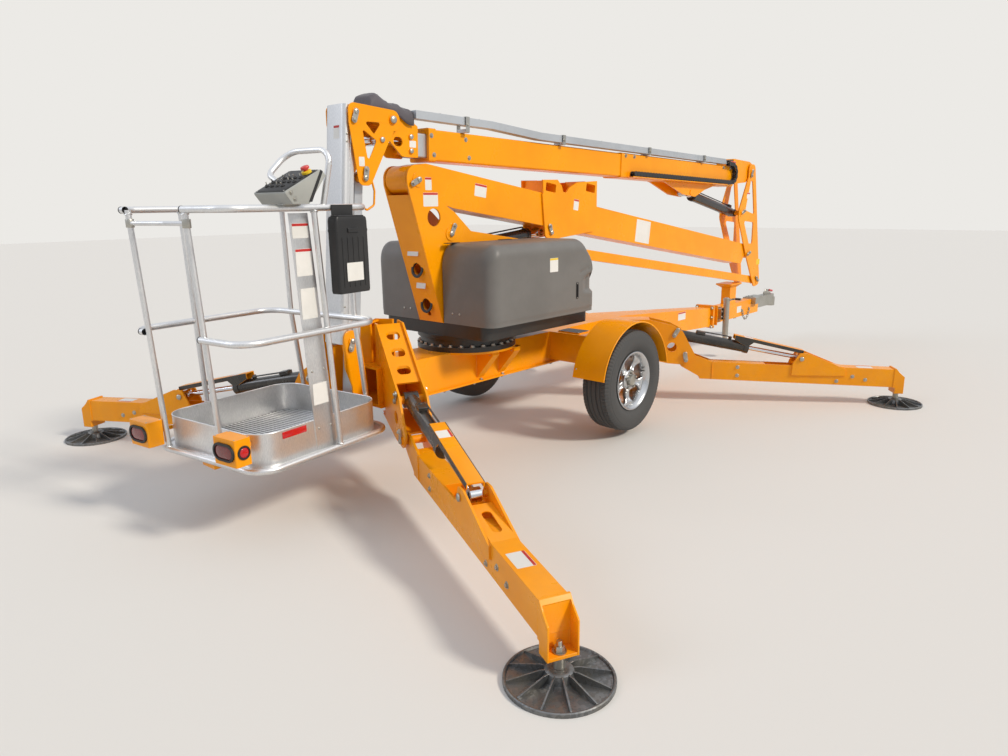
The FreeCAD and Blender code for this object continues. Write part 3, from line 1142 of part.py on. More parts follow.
brackets = []
for name, along, across, *where in CORNERS:
    arm = Arm(name, along, across, *where)
    rear = along < 0
    hinge = S.hinge_z
    bracket = Piece(f"bracket_{name}", arm.place(0), (0, 0, 1), arm.turn, alone=False)
    brackets.append(bracket.body)
    if rear:
        side = polygon(
            (-640, S.frame_low - 8), (-143, hinge - 30, 40), (20, hinge - 42, 40),
            (76, hinge + 38, 20), (-32, hinge + 236, 30), (-110, hinge + 290, 40),
            (-500, hinge + 575, 20), (-640, hinge + 575))
    else:
        side = polygon(
            (-760, S.frame_low - 8), (-143, hinge - 30, 40), (20, hinge - 42, 40),
            (76, hinge + 38, 20), (-32, hinge + 236, 30), (-120, hinge + 286, 40),
            (-300, S.frame_high, 60), (-760, S.frame_high))
    bracket.sides(S.leg_half + 14, S.leg_half + 26, side)
    bracket.cut("XZ", -100, 100, circle(-115, hinge + 105, 38))
    inner = S.leg_half + 15
    if rear:
        web = polygon((-520, hinge + 570), (-144, hinge + 290), (-152, hinge + 280), (-528, hinge + 560))
    else:
        web = polygon((-760, S.frame_high), (-300, S.frame_high), (-300, S.frame_high - 10),
                      (-760, S.frame_high - 10))
    bracket.pad("XZ", -inner, inner, web)
    bracket.pad("XZ", -inner, inner, polygon(
        (-760, S.frame_low - 8), (-150, hinge - 20), (-150, hinge - 8), (-760, S.frame_low + 4)))
    if rear:
        for hole_s in (-440, -330, -220):
            bracket.cut("XY", hinge + 200, hinge + 600, polygon(
                (hole_s - 26, -40, 24), (hole_s + 26, -40, 24), (hole_s + 26, 40, 24),
                (hole_s - 26, 40, 24)))
    # Away with what would stand inside the main tube or past the middle
    near = [arm.local(x, across * S.frame_half) for x in (-4000, 4000)]
    far = [arm.local(x, -across * 2500) for x in (4000, -4000)]
    bracket.cut("XY", S.frame_low - 60, S.frame_high + 1, polygon(*near, *far))
    near = [arm.local(x, across * (S.flange_half + 1)) for x in (-4000, 4000)]
    bracket.cut("XY", S.frame_low - 60, S.frame_low + 0.5, polygon(*near, *far))
    near = [arm.local(x, across * 22) for x in (-4000, 4000)]
    bracket.cut("XY", S.frame_high, S.frame_high + 500, polygon(*near, *far))
    bracket.pin(0, hinge, S.pin_radius, -S.leg_half - 34, S.leg_half + 34)
    bracket.pin(-S.ram_base_x, hinge + S.ram_base_z, S.pin_radius, -S.leg_half - 30, S.leg_half + 30)

    leg = Piece(f"leg_{name}", arm.place(hinge), (0, 0, 1), arm.turn)
    half = S.leg_half
    tube_end = arm.reach - 86
    leg.pad("XZ", -half, half, polygon(
        (120, -S.leg_top - 4), (tube_end, -S.leg_top - S.leg_fall),
        (tube_end, -S.leg_top - S.leg_fall - S.leg_depth), (120, -S.leg_top - 4 - S.leg_depth)))
    leg.sides(half - 16, half, polygon(
        (-46, 46, 42), (60, 40, 20), (217, -S.leg_top - 6), (217, -S.leg_top - S.leg_depth - 6),
        (150, -S.leg_top - S.leg_depth - 4), (-46, -50, 42)))
    ears_in = half - 1
    leg.sides(ears_in, half + 11, polygon(
        (842, -120), (850, -20, 12), (898, S.ram_pin_z + 46, 20), (960, S.ram_pin_z + 46, 20),
        (1259, -62), (1259, -120)))
    leg.cut("XZ", -half - 20, half + 20, circle(0, 0, S.pin_radius + S.rim_gap))
    # The tube is open on top under the rod's eye
    leg.cut("XY", -S.leg_top - 110, 0, rectangle(640, 12 - half, 1040, half - 12))
    leg.sides(half - 14, half + 15, circle(S.ram_pin_x, S.ram_pin_z, 16))
    leg.pad("XZ", -half - 4, half + 4, rectangle(
        tube_end - 1, -S.leg_top - S.leg_fall - S.leg_depth - 4, tube_end + 12,
        -S.leg_top - S.leg_fall + 8))
    foot_top = -S.hinge_z + 100
    leg.pad("XZ", -half - 4, half + 4, polygon(
        (tube_end + 11, -S.leg_top - S.leg_fall + 8), (tube_end + 36, -S.leg_top - S.leg_fall - 24, 10),
        (tube_end + 78, -S.leg_top - S.leg_fall - 60, 10), (tube_end + 78, foot_top),
        (tube_end + 11, foot_top)))
    leg.cut("XZ", 8 - half, half - 8, rectangle(tube_end + 18, foot_top - 1, tube_end + 68, foot_top + 70))
    foot_x = arm.reach - 40
    leg.pin(foot_x, 0, 20, -S.hinge_z + 51, foot_top + 80, "XY")

    foot = Piece(f"foot_{name}", (AXLE + arm.hinge_x + foot_x * arm.cos,
                                  arm.hinge_y + foot_x * arm.sin, 0))
    foot.turn("XZ", 0, polygon(
        (0, 0), (S.foot_radius, 0), (S.foot_radius, 14), (S.foot_radius - 8, 18), (70, 44), (44, 50),
        (30, 51), (0, 51)), axis="V_Axis")
    for k in range(8):
        turned = math.radians(22.5 + 45 * k)
        rib = []
        for reach, across_rib in ((62, 5), (176, 5), (176, -5), (62, -5)):
            rib.append((reach * math.cos(turned) - across_rib * math.sin(turned),
                        reach * math.sin(turned) + across_rib * math.cos(turned)))
        foot.pad("XY", 12, 30, polygon(*rib))

    ram_dx = S.ram_base_x + S.ram_pin_x
    ram_dz = S.ram_base_z - S.ram_pin_z
    ram_length = root(ram_dx * ram_dx + ram_dz * ram_dz)
    fall = slope(ram_dz, ram_dx)
    base = (AXLE + arm.hinge_x - S.ram_base_x * arm.cos, arm.hinge_y - S.ram_base_x * arm.sin,
            hinge + S.ram_base_z)
    ram_barrel = Piece(f"ram_barrel_{name}", base, (0, 0, 1), arm.turn)
    ram_rod = Piece(f"ram_rod_{name}", base, (0, 0, 1), arm.turn)
    ram_barrel.lean(fall)
    ram_rod.lean(fall)
    ram_barrel.pin(0, 0, 44, -40, 40)
    ram_barrel.pad("YZ", 30, 610, circle(0, 0, S.ram_bore / 2))
    ram_barrel.pad("YZ", 575, 612, circle(0, 0, S.ram_bore / 2 + 5))
    ram_barrel.cut("YZ", 56, 614, circle(0, 0, S.ram_rod / 2 + S.pad_gap))
    ram_barrel.cut("XZ", -41, 41, circle(0, 0, S.pin_radius + S.rim_gap))
    ram_barrel.pad("XZ", -44, 44, polygon((486, 88), (1040, 66), (1040, 60), (486, 82)))
    ram_barrel.sides(38, 44, polygon(
        (486, 85), (486, 52), (560, 20), (606, 20), (640, 56), (1040, 40), (1040, 63)))
    ram_rod.pad("YZ", 410, ram_length, circle(0, 0, S.ram_rod / 2))
    ram_rod.pin(ram_length, 0, 34, -26, 26)
    ram_rod.cut("XZ", -27, 27, circle(ram_length, 0, 17))


# Each sub-part into a file of its own

together = doc.addObject("Part::Compound", "outrigger_brackets")
together.Label = "outrigger_brackets"
together.Links = brackets
PIECES.append(together)

doc.recompute()
faults = []
for item in doc.Objects:
    if "Invalid" in item.State or "Error" in item.State:
        faults.append(f"{item.Name}: {item.State}")
for piece in PIECES:
    if piece.Shape.isNull() or not piece.Shape.isValid():
        faults.append(f"{piece.Label}: shape")
if faults:
    raise ValueError("; ".join(faults))
os.makedirs("parts", exist_ok=True)
for piece in PIECES:
    piece.Shape.exportStep(f"parts/{piece.Label}.step")
    solids = len(piece.Shape.Solids)
    print(f"{piece.Label}: {solids} solids, {piece.Shape.Volume / 1e6:.1f} l")
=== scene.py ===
"""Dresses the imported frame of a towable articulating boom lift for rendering.

The machine stands on its four outriggers with the booms folded. Row frame: +X towards the
hitch, +Y to the left of travel, +Z up, metres. Each sub-assembly is a class that holds its
sizes and makes its own pieces. Surfaces are grids worked out with numpy.
"""

import json
import logging
import math
from dataclasses import dataclass, replace
from enum import Enum
from typing import Callable, Iterable, Optional, Sequence

import bmesh
import bpy
import numpy as np
from mathutils import Matrix, Vector
from mathutils.geometry import tessellate_polygon


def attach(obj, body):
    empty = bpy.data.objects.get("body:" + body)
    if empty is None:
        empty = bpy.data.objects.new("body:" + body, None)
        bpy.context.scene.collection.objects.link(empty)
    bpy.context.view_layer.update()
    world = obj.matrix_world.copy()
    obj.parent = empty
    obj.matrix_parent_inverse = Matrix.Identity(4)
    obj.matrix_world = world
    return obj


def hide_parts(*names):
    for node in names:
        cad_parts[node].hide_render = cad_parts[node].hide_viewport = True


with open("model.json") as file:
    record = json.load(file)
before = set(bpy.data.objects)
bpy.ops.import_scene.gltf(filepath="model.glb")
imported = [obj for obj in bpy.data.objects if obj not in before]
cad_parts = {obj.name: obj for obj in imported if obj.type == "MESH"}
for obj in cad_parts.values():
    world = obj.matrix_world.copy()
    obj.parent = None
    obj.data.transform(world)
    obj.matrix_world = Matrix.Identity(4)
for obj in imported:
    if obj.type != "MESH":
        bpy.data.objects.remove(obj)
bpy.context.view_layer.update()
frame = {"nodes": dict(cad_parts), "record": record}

log = logging.getLogger("boom_lift")
logging.basicConfig(level=logging.INFO, format="%(message)s")

Array = np.ndarray
Socket = bpy.types.NodeSocket
Tree = bpy.types.NodeTree
MM = 0.001
AXLE_X = -0.8325
SIDES = (("left", 1), ("right", -1))
# Points of the CAD meshes closer than this are one, and faces flatter than this are joined
MERGE = 0.02 * MM
FLAT = math.radians(0.6)


# Places


@dataclass(frozen=True)
class Stand:
    """A place on the machine: an origin and the directions of its own three axes."""

    origin: tuple
    x: tuple = (1.0, 0.0, 0.0)
    y: tuple = (0.0, 1.0, 0.0)
    z: tuple = (0.0, 0.0, 1.0)

    def __call__(self, points: Array) -> Array:
        """Moves points of this place into the row frame.

        Args:
            points: Any array whose last axis is x, y, z.

        Returns:
            The same points in the row frame.
        """
        return np.asarray(points, float) @ np.array([self.x, self.y, self.z]) + np.array(self.origin)

    def at(self, x: float, y: float, z: float) -> "Stand":
        """A parallel place, moved along this place's own axes."""
        return Stand(tuple(self(np.array([x, y, z]))), self.x, self.y, self.z)

    def flank(self, sign: int, x: float, y: float, z: float) -> "Stand":
        """The place y out to the left (sign 1) or right (-1), its Z axis looking outwards."""
        return self.at(x, sign * y, z).facing((0, sign, 0))

    def facing(self, normal: tuple, up: tuple = (0.0, 0.0, 1.0)) -> "Stand":
        """The place turned so that its Z looks along a direction given in its own axes.

        Args:
            normal: Where the new Z axis looks.
            up: What the new Y axis leans towards.

        Returns:
            The turned place, with the same origin.
        """
        axes = np.array([self.x, self.y, self.z])
        n = np.array(normal, float) / np.linalg.norm(normal)
        hint = np.array(up, float)
        if abs(n @ hint) > 0.95 * np.linalg.norm(hint):
            hint = np.array([1.0, 0.0, 0.0])
        u = np.cross(hint, n)
        u /= np.linalg.norm(u)
        v = np.cross(n, u)
        return Stand(self.origin, tuple(u @ axes), tuple(v @ axes), tuple(n @ axes))


def leaning(x: float, z: float, degrees: float) -> Stand:
    """A place in the middle plane whose X axis dips by an angle."""
    a = math.radians(degrees)
    return Stand((x, 0.0, z), (math.cos(a), 0.0, -math.sin(a)), (0.0, 1.0, 0.0),
        (math.sin(a), 0.0, math.cos(a)))


def turned(x: float, y: float, z: float, degrees: float) -> Stand:
    """A place whose X axis is turned about the upright."""
    a = math.radians(degrees)
    return Stand((x, y, z), (math.cos(a), math.sin(a), 0.0), (-math.sin(a), math.cos(a), 0.0))


ROW = Stand((0.0, 0.0, 0.0))
MACHINE = Stand((AXLE_X, 0.0, 0.0))


# Curves and outlines


def rounded(corners: Sequence[tuple], step: float = 12.0, closed: bool = True) -> Array:
    """An outline whose corners are replaced by tangent arcs.

    Each corner is (a, b, radius). The arc is centred on the bisector at radius over the sine
    of half the corner's angle, and is sampled every few degrees.

    Args:
        corners: The corners in order, counter-clockwise for an outline.
        step: Largest angle between neighbouring points of an arc, in degrees.
        closed: Whether the last corner joins the first.

    Returns:
        Points of the outline, one row each.
    """
    found = []
    count = len(corners)
    for i, corner in enumerate(corners):
        here = np.array(corner[:-1], float)
        radius = float(corner[-1])
        if radius <= 0 or (not closed and i in (0, count - 1)):
            found.append(here[None])
            continue
        before = np.array(corners[i - 1][:-1], float) - here
        after = np.array(corners[(i + 1) % count][:-1], float) - here
        reach = min(np.linalg.norm(before), np.linalg.norm(after))
        before /= np.linalg.norm(before)
        after /= np.linalg.norm(after)
        half = math.acos(max(-1.0, min(1.0, float(before @ after)))) / 2
        if half > math.radians(89.5):
            found.append(here[None])
            continue
        radius = min(radius, reach * 0.98 * math.tan(half))
        middle = here + (before + after) / np.linalg.norm(before + after) * radius / math.sin(half)
        start = here + before * radius / math.tan(half) - middle
        end = here + after * radius / math.tan(half) - middle
        sweep = math.pi - 2 * half
        parts = max(2, int(math.ceil(math.degrees(sweep) / step)) + 1)
        t = np.linspace(0, 1, parts)[:, None]
        arc = (np.sin((1 - t) * sweep) * start + np.sin(t * sweep) * end) / math.sin(sweep)
        found.append(middle + arc)
    return np.concatenate(found)


def box_outline(width: float, height: float, radius: float, step: float = 15.0) -> Array:
    """A rectangle about the origin with rounded corners."""
    a, b = width / 2, height / 2
    return rounded([(a, -b, radius), (a, b, radius), (-a, b, radius), (-a, -b, radius)], step)


def flowing(points: Sequence[tuple], per_run: int = 8, closed: bool = False) -> Array:
    """A smooth line through points: each run is the cubic of Catmull and Rom.

    The tangent at a point is half the step between its two neighbours.

    Args:
        points: Points that the line passes.
        per_run: Samples on each run.
        closed: Whether the line returns to its start.

    Returns:
        The samples in order.
    """
    p = np.array(points, float)
    q = np.concatenate([p[-1:], p, p[:2]]) if closed else np.concatenate(
        [2 * p[:1] - p[1:2], p, 2 * p[-1:] - p[-2:-1]])
    t = np.linspace(0, 1, per_run, endpoint=False)[None, :, None]
    a, b, c, d = (q[i : len(q) - 3 + i, None, :] for i in range(4))
    s = 0.5 * (2 * b + (c - a) * t + (2 * a - 5 * b + 4 * c - d) * t**2 + (3 * b - a - 3 * c + d) * t**3)
    s = s.reshape(-1, p.shape[1])
    return s if closed else np.concatenate([s, p[-1:]])


def turns(parts: int) -> Array:
    """Angles that share a full turn evenly."""
    return np.arange(parts) * (2 * np.pi / parts)


def lifted(outline: Array, level: float, axis: int = 2) -> Array:
    """Points of a plane outline, set at a level of the axis that it lacks."""
    return np.insert(outline, axis, level, axis=1)


def lengths(path: Array) -> Array:
    """The length run along a path up to each of its points."""
    return np.concatenate([[0], np.cumsum(np.linalg.norm(np.diff(path, axis=0), axis=1))])


def strides(path: Array, pitch: float, look: float) -> Iterable:
    """Even strides along a path, as pairs of a point and a direction.

    Args:
        path: Points of the path.
        pitch: Smallest length of a stride.
        look: How far ahead the direction looks.

    Yields:
        The middle of each stride, and the unit direction there.
    """
    run = lengths(path)
    count = int(run[-1] / pitch)
    for k in range(count):
        s = (k + 0.5) / count * run[-1]
        here, there = (np.array([np.interp(d, run, column) for column in path.T]) for d in (s, s + look))
        yield here, (there - here) / np.linalg.norm(there - here)


def ease(x: Array, low: float, high: float) -> Array:
    """A smooth step from 0 at low to 1 at high."""
    t = np.clip((x - low) / (high - low), 0, 1)
    return t * t * (3 - 2 * t)


def rails(path: Array, closed: bool, hint: tuple = (0.0, 0.0, 1.0)) -> tuple:
    """Two unit directions square to a path at each of its points.

    The first is the tangent crossed with a fixed hint, the second the tangent crossed with
    the first.

    Args:
        path: Points of the path.
        closed: Whether the path returns to its start.
        hint: A direction that the path never follows.

    Returns:
        The two arrays of directions.
    """
    ahead = np.roll(path, -1, 0) - np.roll(path, 1, 0)
    if not closed:
        ahead[0] = path[1] - path[0]
        ahead[-1] = path[-1] - path[-2]
    ahead /= np.linalg.norm(ahead, axis=1)[:, None]
    side = np.cross(ahead, np.array(hint, float))
    side /= np.linalg.norm(side, axis=1)[:, None]
    return side, np.cross(side, ahead)


# Shapes


class Shape:
    """Points and faces of a piece while it is put together."""

    def __init__(self) -> None:
        """Starts empty."""
        self.points: list = []
        self.faces: list = []
        self.count = 0

    def add(self, points: Array, faces: Iterable) -> "Shape":
        """Takes in points with faces that number them from zero."""
        points = np.asarray(points, float).reshape(-1, 3)
        self.points.append(points)
        for block in faces:
            self.faces.append(np.asarray(block, int) + self.count)
        self.count += len(points)
        return self

    def join(self, other: "Shape", place: Callable = ROW) -> "Shape":
        """Takes in another shape, set in a place."""
        return self.add(place(np.concatenate(other.points)), other.faces)

    def grid(self, points: Array, close_u: bool = False, close_v: bool = False,
            cap: bool = False) -> "Shape":
        """Adds a surface given as a grid of points.

        Args:
            points: Rows of points, as (u, v, xyz).
            close_u: Whether the last row joins the first.
            close_v: Whether each row returns to its start.
            cap: Whether the first and the last row are filled in.

        Returns:
            The shape itself.
        """
        points = np.asarray(points, float)
        nu, nv = points.shape[:2]
        u = np.arange(nu if close_u else nu - 1)[:, None]
        v = np.arange(nv if close_v else nv - 1)[None, :]
        u1, v1 = (u + 1) % nu, (v + 1) % nv
        quads = np.stack([u * nv + v, u1 * nv + v, u1 * nv + v1, u * nv + v1], -1).reshape(-1, 4)
        blocks = [quads]
        if cap:
            ring = np.arange(nv)
            blocks += [ring[None, ::-1], (ring + (nu - 1) * nv)[None]]
        return self.add(points.reshape(-1, 3), blocks)

    def slab(self, outline: Array, low: float, high: float, place: Callable = ROW,
            edge: float = 0.0) -> "Shape":
        """Adds a plate from an outline in its own XY plane, with chamfered rims.

        The rings shrink towards the outline's middle by the chamfer on the two faces.

        Args:
            outline: Points around the plate.
            low: Height of one face.
            high: Height of the other.
            place: Where the plate stands.
            edge: Width of the chamfer.

        Returns:
            The shape itself.
        """
        outline = np.asarray(outline, float)[:, :2]
        middle = (outline.max(0) + outline.min(0)) / 2
        span = (outline.max(0) - outline.min(0)) / 2
        small = middle + (outline - middle) * (1 - edge / span)
        rings = [(small, low), (outline, low + edge), (outline, high - edge), (small, high)]
        if edge <= 0:
            rings = [(outline, low), (outline, high)]
        rows = [lifted(ring, z) for ring, z in rings]
        return self.grid(place(np.array(rows)), close_v=True, cap=True)

    def ring(self, outer: Array, inner: Array, low: float, high: float, place: Callable = ROW) -> "Shape":
        """Adds a plate with a hole: both outlines have as many points, in step."""
        rows = [(outer, low), (outer, high), (inner, high), (inner, low)]
        return self.grid(place(np.array([lifted(row, z) for row, z in rows])), close_u=True, close_v=True)

    def cut_plate(self, outline: Array, holes: Sequence[Array], low: float, high: float,
            place: Callable = ROW) -> "Shape":
        """Adds a plate with several holes: the two faces are triangulated between all the
        outlines, and a wall joins them round each one.

        Args:
            outline: Points round the plate.
            holes: Points round each hole.
            low: Height of one face.
            high: Height of the other.
            place: Where the plate stands.

        Returns:
            The shape itself.
        """
        rings = [np.asarray(ring, float)[:, :2] for ring in (outline, *holes)]
        flat = np.concatenate(rings)
        faces = np.array(tessellate_polygon([[Vector((x, y, 0.0)) for x, y in ring] for ring in rings]))
        count = len(flat)
        blocks, start = [faces, faces[:, ::-1] + count], 0
        for ring in rings:
            here = start + np.arange(len(ring))
            ahead = start + (np.arange(len(ring)) + 1) % len(ring)
            blocks.append(np.column_stack([here, ahead, ahead + count, here + count]))
            start += len(ring)
        return self.add(place(np.concatenate([lifted(flat, z) for z in (low, high)])), blocks)

    def lathe(self, profile: Array, place: Callable = ROW, parts: int = 32,
            closed: bool = False) -> "Shape":
        """Adds a turned surface: each (radius, height) of the profile goes round the place's Z."""
        profile = np.asarray(profile, float)
        a = turns(parts)
        r, h = profile[:, 0, None], profile[:, 1, None]
        grid = np.stack([r * np.cos(a), r * np.sin(a), h + 0 * a], -1)
        return self.grid(place(grid), close_u=closed, close_v=True, cap=not closed)

    def rod(self, radius: float, low: float, high: float, place: Callable = ROW,
            parts: int = 32) -> "Shape":
        """Adds a plain cylinder round the place's Z."""
        return self.lathe([(0, low), (radius, low), (radius, high), (0, high)], place, parts)

    def tube(self, path: Array, radius: float, sides: int = 20, closed: bool = False,
            hint: tuple = (0.0, 0.0, 1.0), place: Callable = ROW) -> "Shape":
        """Adds a round bar: a circle carried along a path, square to it."""
        path = place(np.asarray(path, float))
        side, over = rails(path, closed, hint)
        a = turns(sides)
        radius = np.broadcast_to(np.asarray(radius, float), (len(path),))[:, None, None]
        around = side[:, None] * np.cos(a)[None, :, None] + over[:, None] * np.sin(a)[None, :, None]
        return self.grid(path[:, None] + around * radius, close_u=closed, close_v=True, cap=not closed)

    def sweep(self, profile: Array, low: float, high: float, place: Callable = ROW,
            axis: int = 1) -> "Shape":
        """Adds a bar: a closed profile carried along one axis, which is Y unless another is given."""
        rows = [lifted(profile, level, axis) for level in (low, high)]
        return self.grid(place(np.array(rows)), close_v=True, cap=True)

    def weld(self, path: Array, radius: float = 0.0035, seed: int = 1, place: Callable = ROW) -> "Shape":
        """Adds a weld bead: a thin bar whose radius swells a little at each ripple of 4 mm."""
        path = np.asarray(path, float)
        run = lengths(path)
        count = max(3, min(260, int(run[-1] / 0.006)))
        t = np.linspace(0, run[-1], count)
        fine = np.column_stack([np.interp(t, run, path[:, k]) for k in range(3)])
        noise = np.random.default_rng(seed).normal(0, 0.08, count)
        swell = radius * (1 + 0.14 * np.sin(t / 0.004 * math.pi) + noise)
        return self.tube(place(fine), swell, 6, hint=(0.31, 0.52, 0.79))

    def repeat(self, part: "Shape", places: Sequence) -> "Shape":
        """Adds a small shape once at each of many places."""
        for place in places:
            self.join(part, place)
        return self

    def mesh(self, name: str, merge: float = 1e-5) -> bpy.types.Mesh:
        """Makes the Blender mesh, merged and with its faces looking outwards."""
        points = np.concatenate(self.points)
        faces = [face for block in self.faces for face in block.tolist()]
        made = bpy.data.meshes.new(name)
        made.from_pydata(points.tolist(), [], faces)
        work = bmesh.new()
        work.from_mesh(made)
        bmesh.ops.remove_doubles(work, verts=work.verts, dist=merge)
        bmesh.ops.recalc_face_normals(work, faces=work.faces)
        work.to_mesh(made)
        work.free()
        return made

    def piece(self, name: str, body: str, finish: "Finish", edge: float = 0.0, smooth: float = 38,
            replaces: Sequence[str] = ()) -> bpy.types.Object:
        """Makes the finished piece and sets it on its body.

        Args:
            name: The piece's name.
            body: The CAD body that carries it.
            finish: Its material.
            edge: Width of a bevel on its sharp edges, in metres.
            smooth: Angle above which an edge stays sharp, in degrees.
            replaces: CAD nodes that it stands for.

        Returns:
            The Blender object.
        """
        made = bpy.data.objects.new(name, self.mesh(name))
        bpy.context.scene.collection.objects.link(made)
        made.data.shade_smooth()
        made.data.set_sharp_from_angle(angle=math.radians(smooth))
        made.data.materials.append(finish.material())
        if edge > 0:
            soften(made, edge)
        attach(made, body)
        if replaces:
            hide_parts(*replaces)
        log.info("piece %s: %d faces", name, len(made.data.polygons))
        return made


def soften(piece: bpy.types.Object, width: float, angle: float = 40, clamp: bool = False) -> None:
    """Rounds a piece's edges with a small bevel and evens its shading.

    Args:
        piece: The Blender object.
        width: Width of the bevel, in metres.
        angle: Only edges sharper than this are rounded, in degrees.
        clamp: Whether the bevel gives way to its neighbours.
    """
    bevel = piece.modifiers.new("edges", "BEVEL")
    bevel.width = width
    bevel.segments = 2
    bevel.limit_method = "ANGLE"
    bevel.angle_limit = math.radians(angle)
    bevel.use_clamp_overlap = clamp
    bevel.miter_outer = "MITER_ARC"
    weighted = piece.modifiers.new("shading", "WEIGHTED_NORMAL")
    weighted.keep_sharp = False


# Finishes


def linear(code: str) -> tuple:
    """The linear colour of an sRGB hex code."""
    parts = [int(code[i : i + 2], 16) / 255 for i in (0, 2, 4)]
    return tuple(c / 12.92 if c <= 0.04045 else ((c + 0.055) / 1.055) ** 2.4 for c in parts) + (1.0,)


def node(tree: Tree, kind: str, settings: Optional[dict] = None, sockets: Optional[dict] = None):
    """Adds a node to a material.

    Args:
        tree: The material's node tree.
        kind: The node's type.
        settings: Values of the node's own properties.
        sockets: For each input a value, or another node's output to link.

    Returns:
        The node.
    """
    made = tree.nodes.new(kind)
    for name, value in (settings or {}).items():
        setattr(made, name, value)
    for name, value in (sockets or {}).items():
        socket = made.inputs[name]
        if isinstance(value, Socket):
            tree.links.new(value, socket)
        else:
            socket.default_value = value
    return made


def noise(tree: Tree, place: Socket, scale: float, detail: float, rough: float) -> Socket:
    """A noise of so many repeats a metre."""
    return node(tree, "ShaderNodeTexNoise", None, {"Vector": place, "Scale": scale, "Detail": detail,
        "Roughness": rough}).outputs["Fac"]


def maths(tree: Tree, operation: str, *values: object) -> Socket:
    """The result of an operation on numbers or sockets."""
    return node(tree, "ShaderNodeMath", {"operation": operation}, dict(enumerate(values))).outputs["Value"]


def ranged(tree: Tree, value: Socket, start: float, end: float, low: float = 0.0, high: float = 1.0,
        kind: str = "LINEAR") -> Socket:
    """A value carried from the range start to end over to the range low to high."""
    return node(tree, "ShaderNodeMapRange", {"interpolation_type": kind},
        {"Value": value, "From Min": start, "From Max": end, "To Min": low, "To Max": high}).outputs[
        "Result"]


def mixed(tree: Tree, by: Socket, first: object, second: object, kind: str = "RGBA") -> Socket:
    """A mix of two colours, or of two numbers when the kind is FLOAT."""
    return node(tree, "ShaderNodeMix", {"data_type": kind}, {"Factor": by, "A": first,
        "B": second}).outputs["Result"]


class Pattern(Enum):
    """How a surface was made, which decides its small scale pattern."""

    SPRAYED = "sprayed"
    MOULDED = "moulded"
    BRUSHED = "brushed"
    SPANGLED = "spangled"
    TURNED = "turned"
    WOVEN = "woven"
    RUBBER = "rubber"
    LENS = "lens"
    PRINTED = "printed"


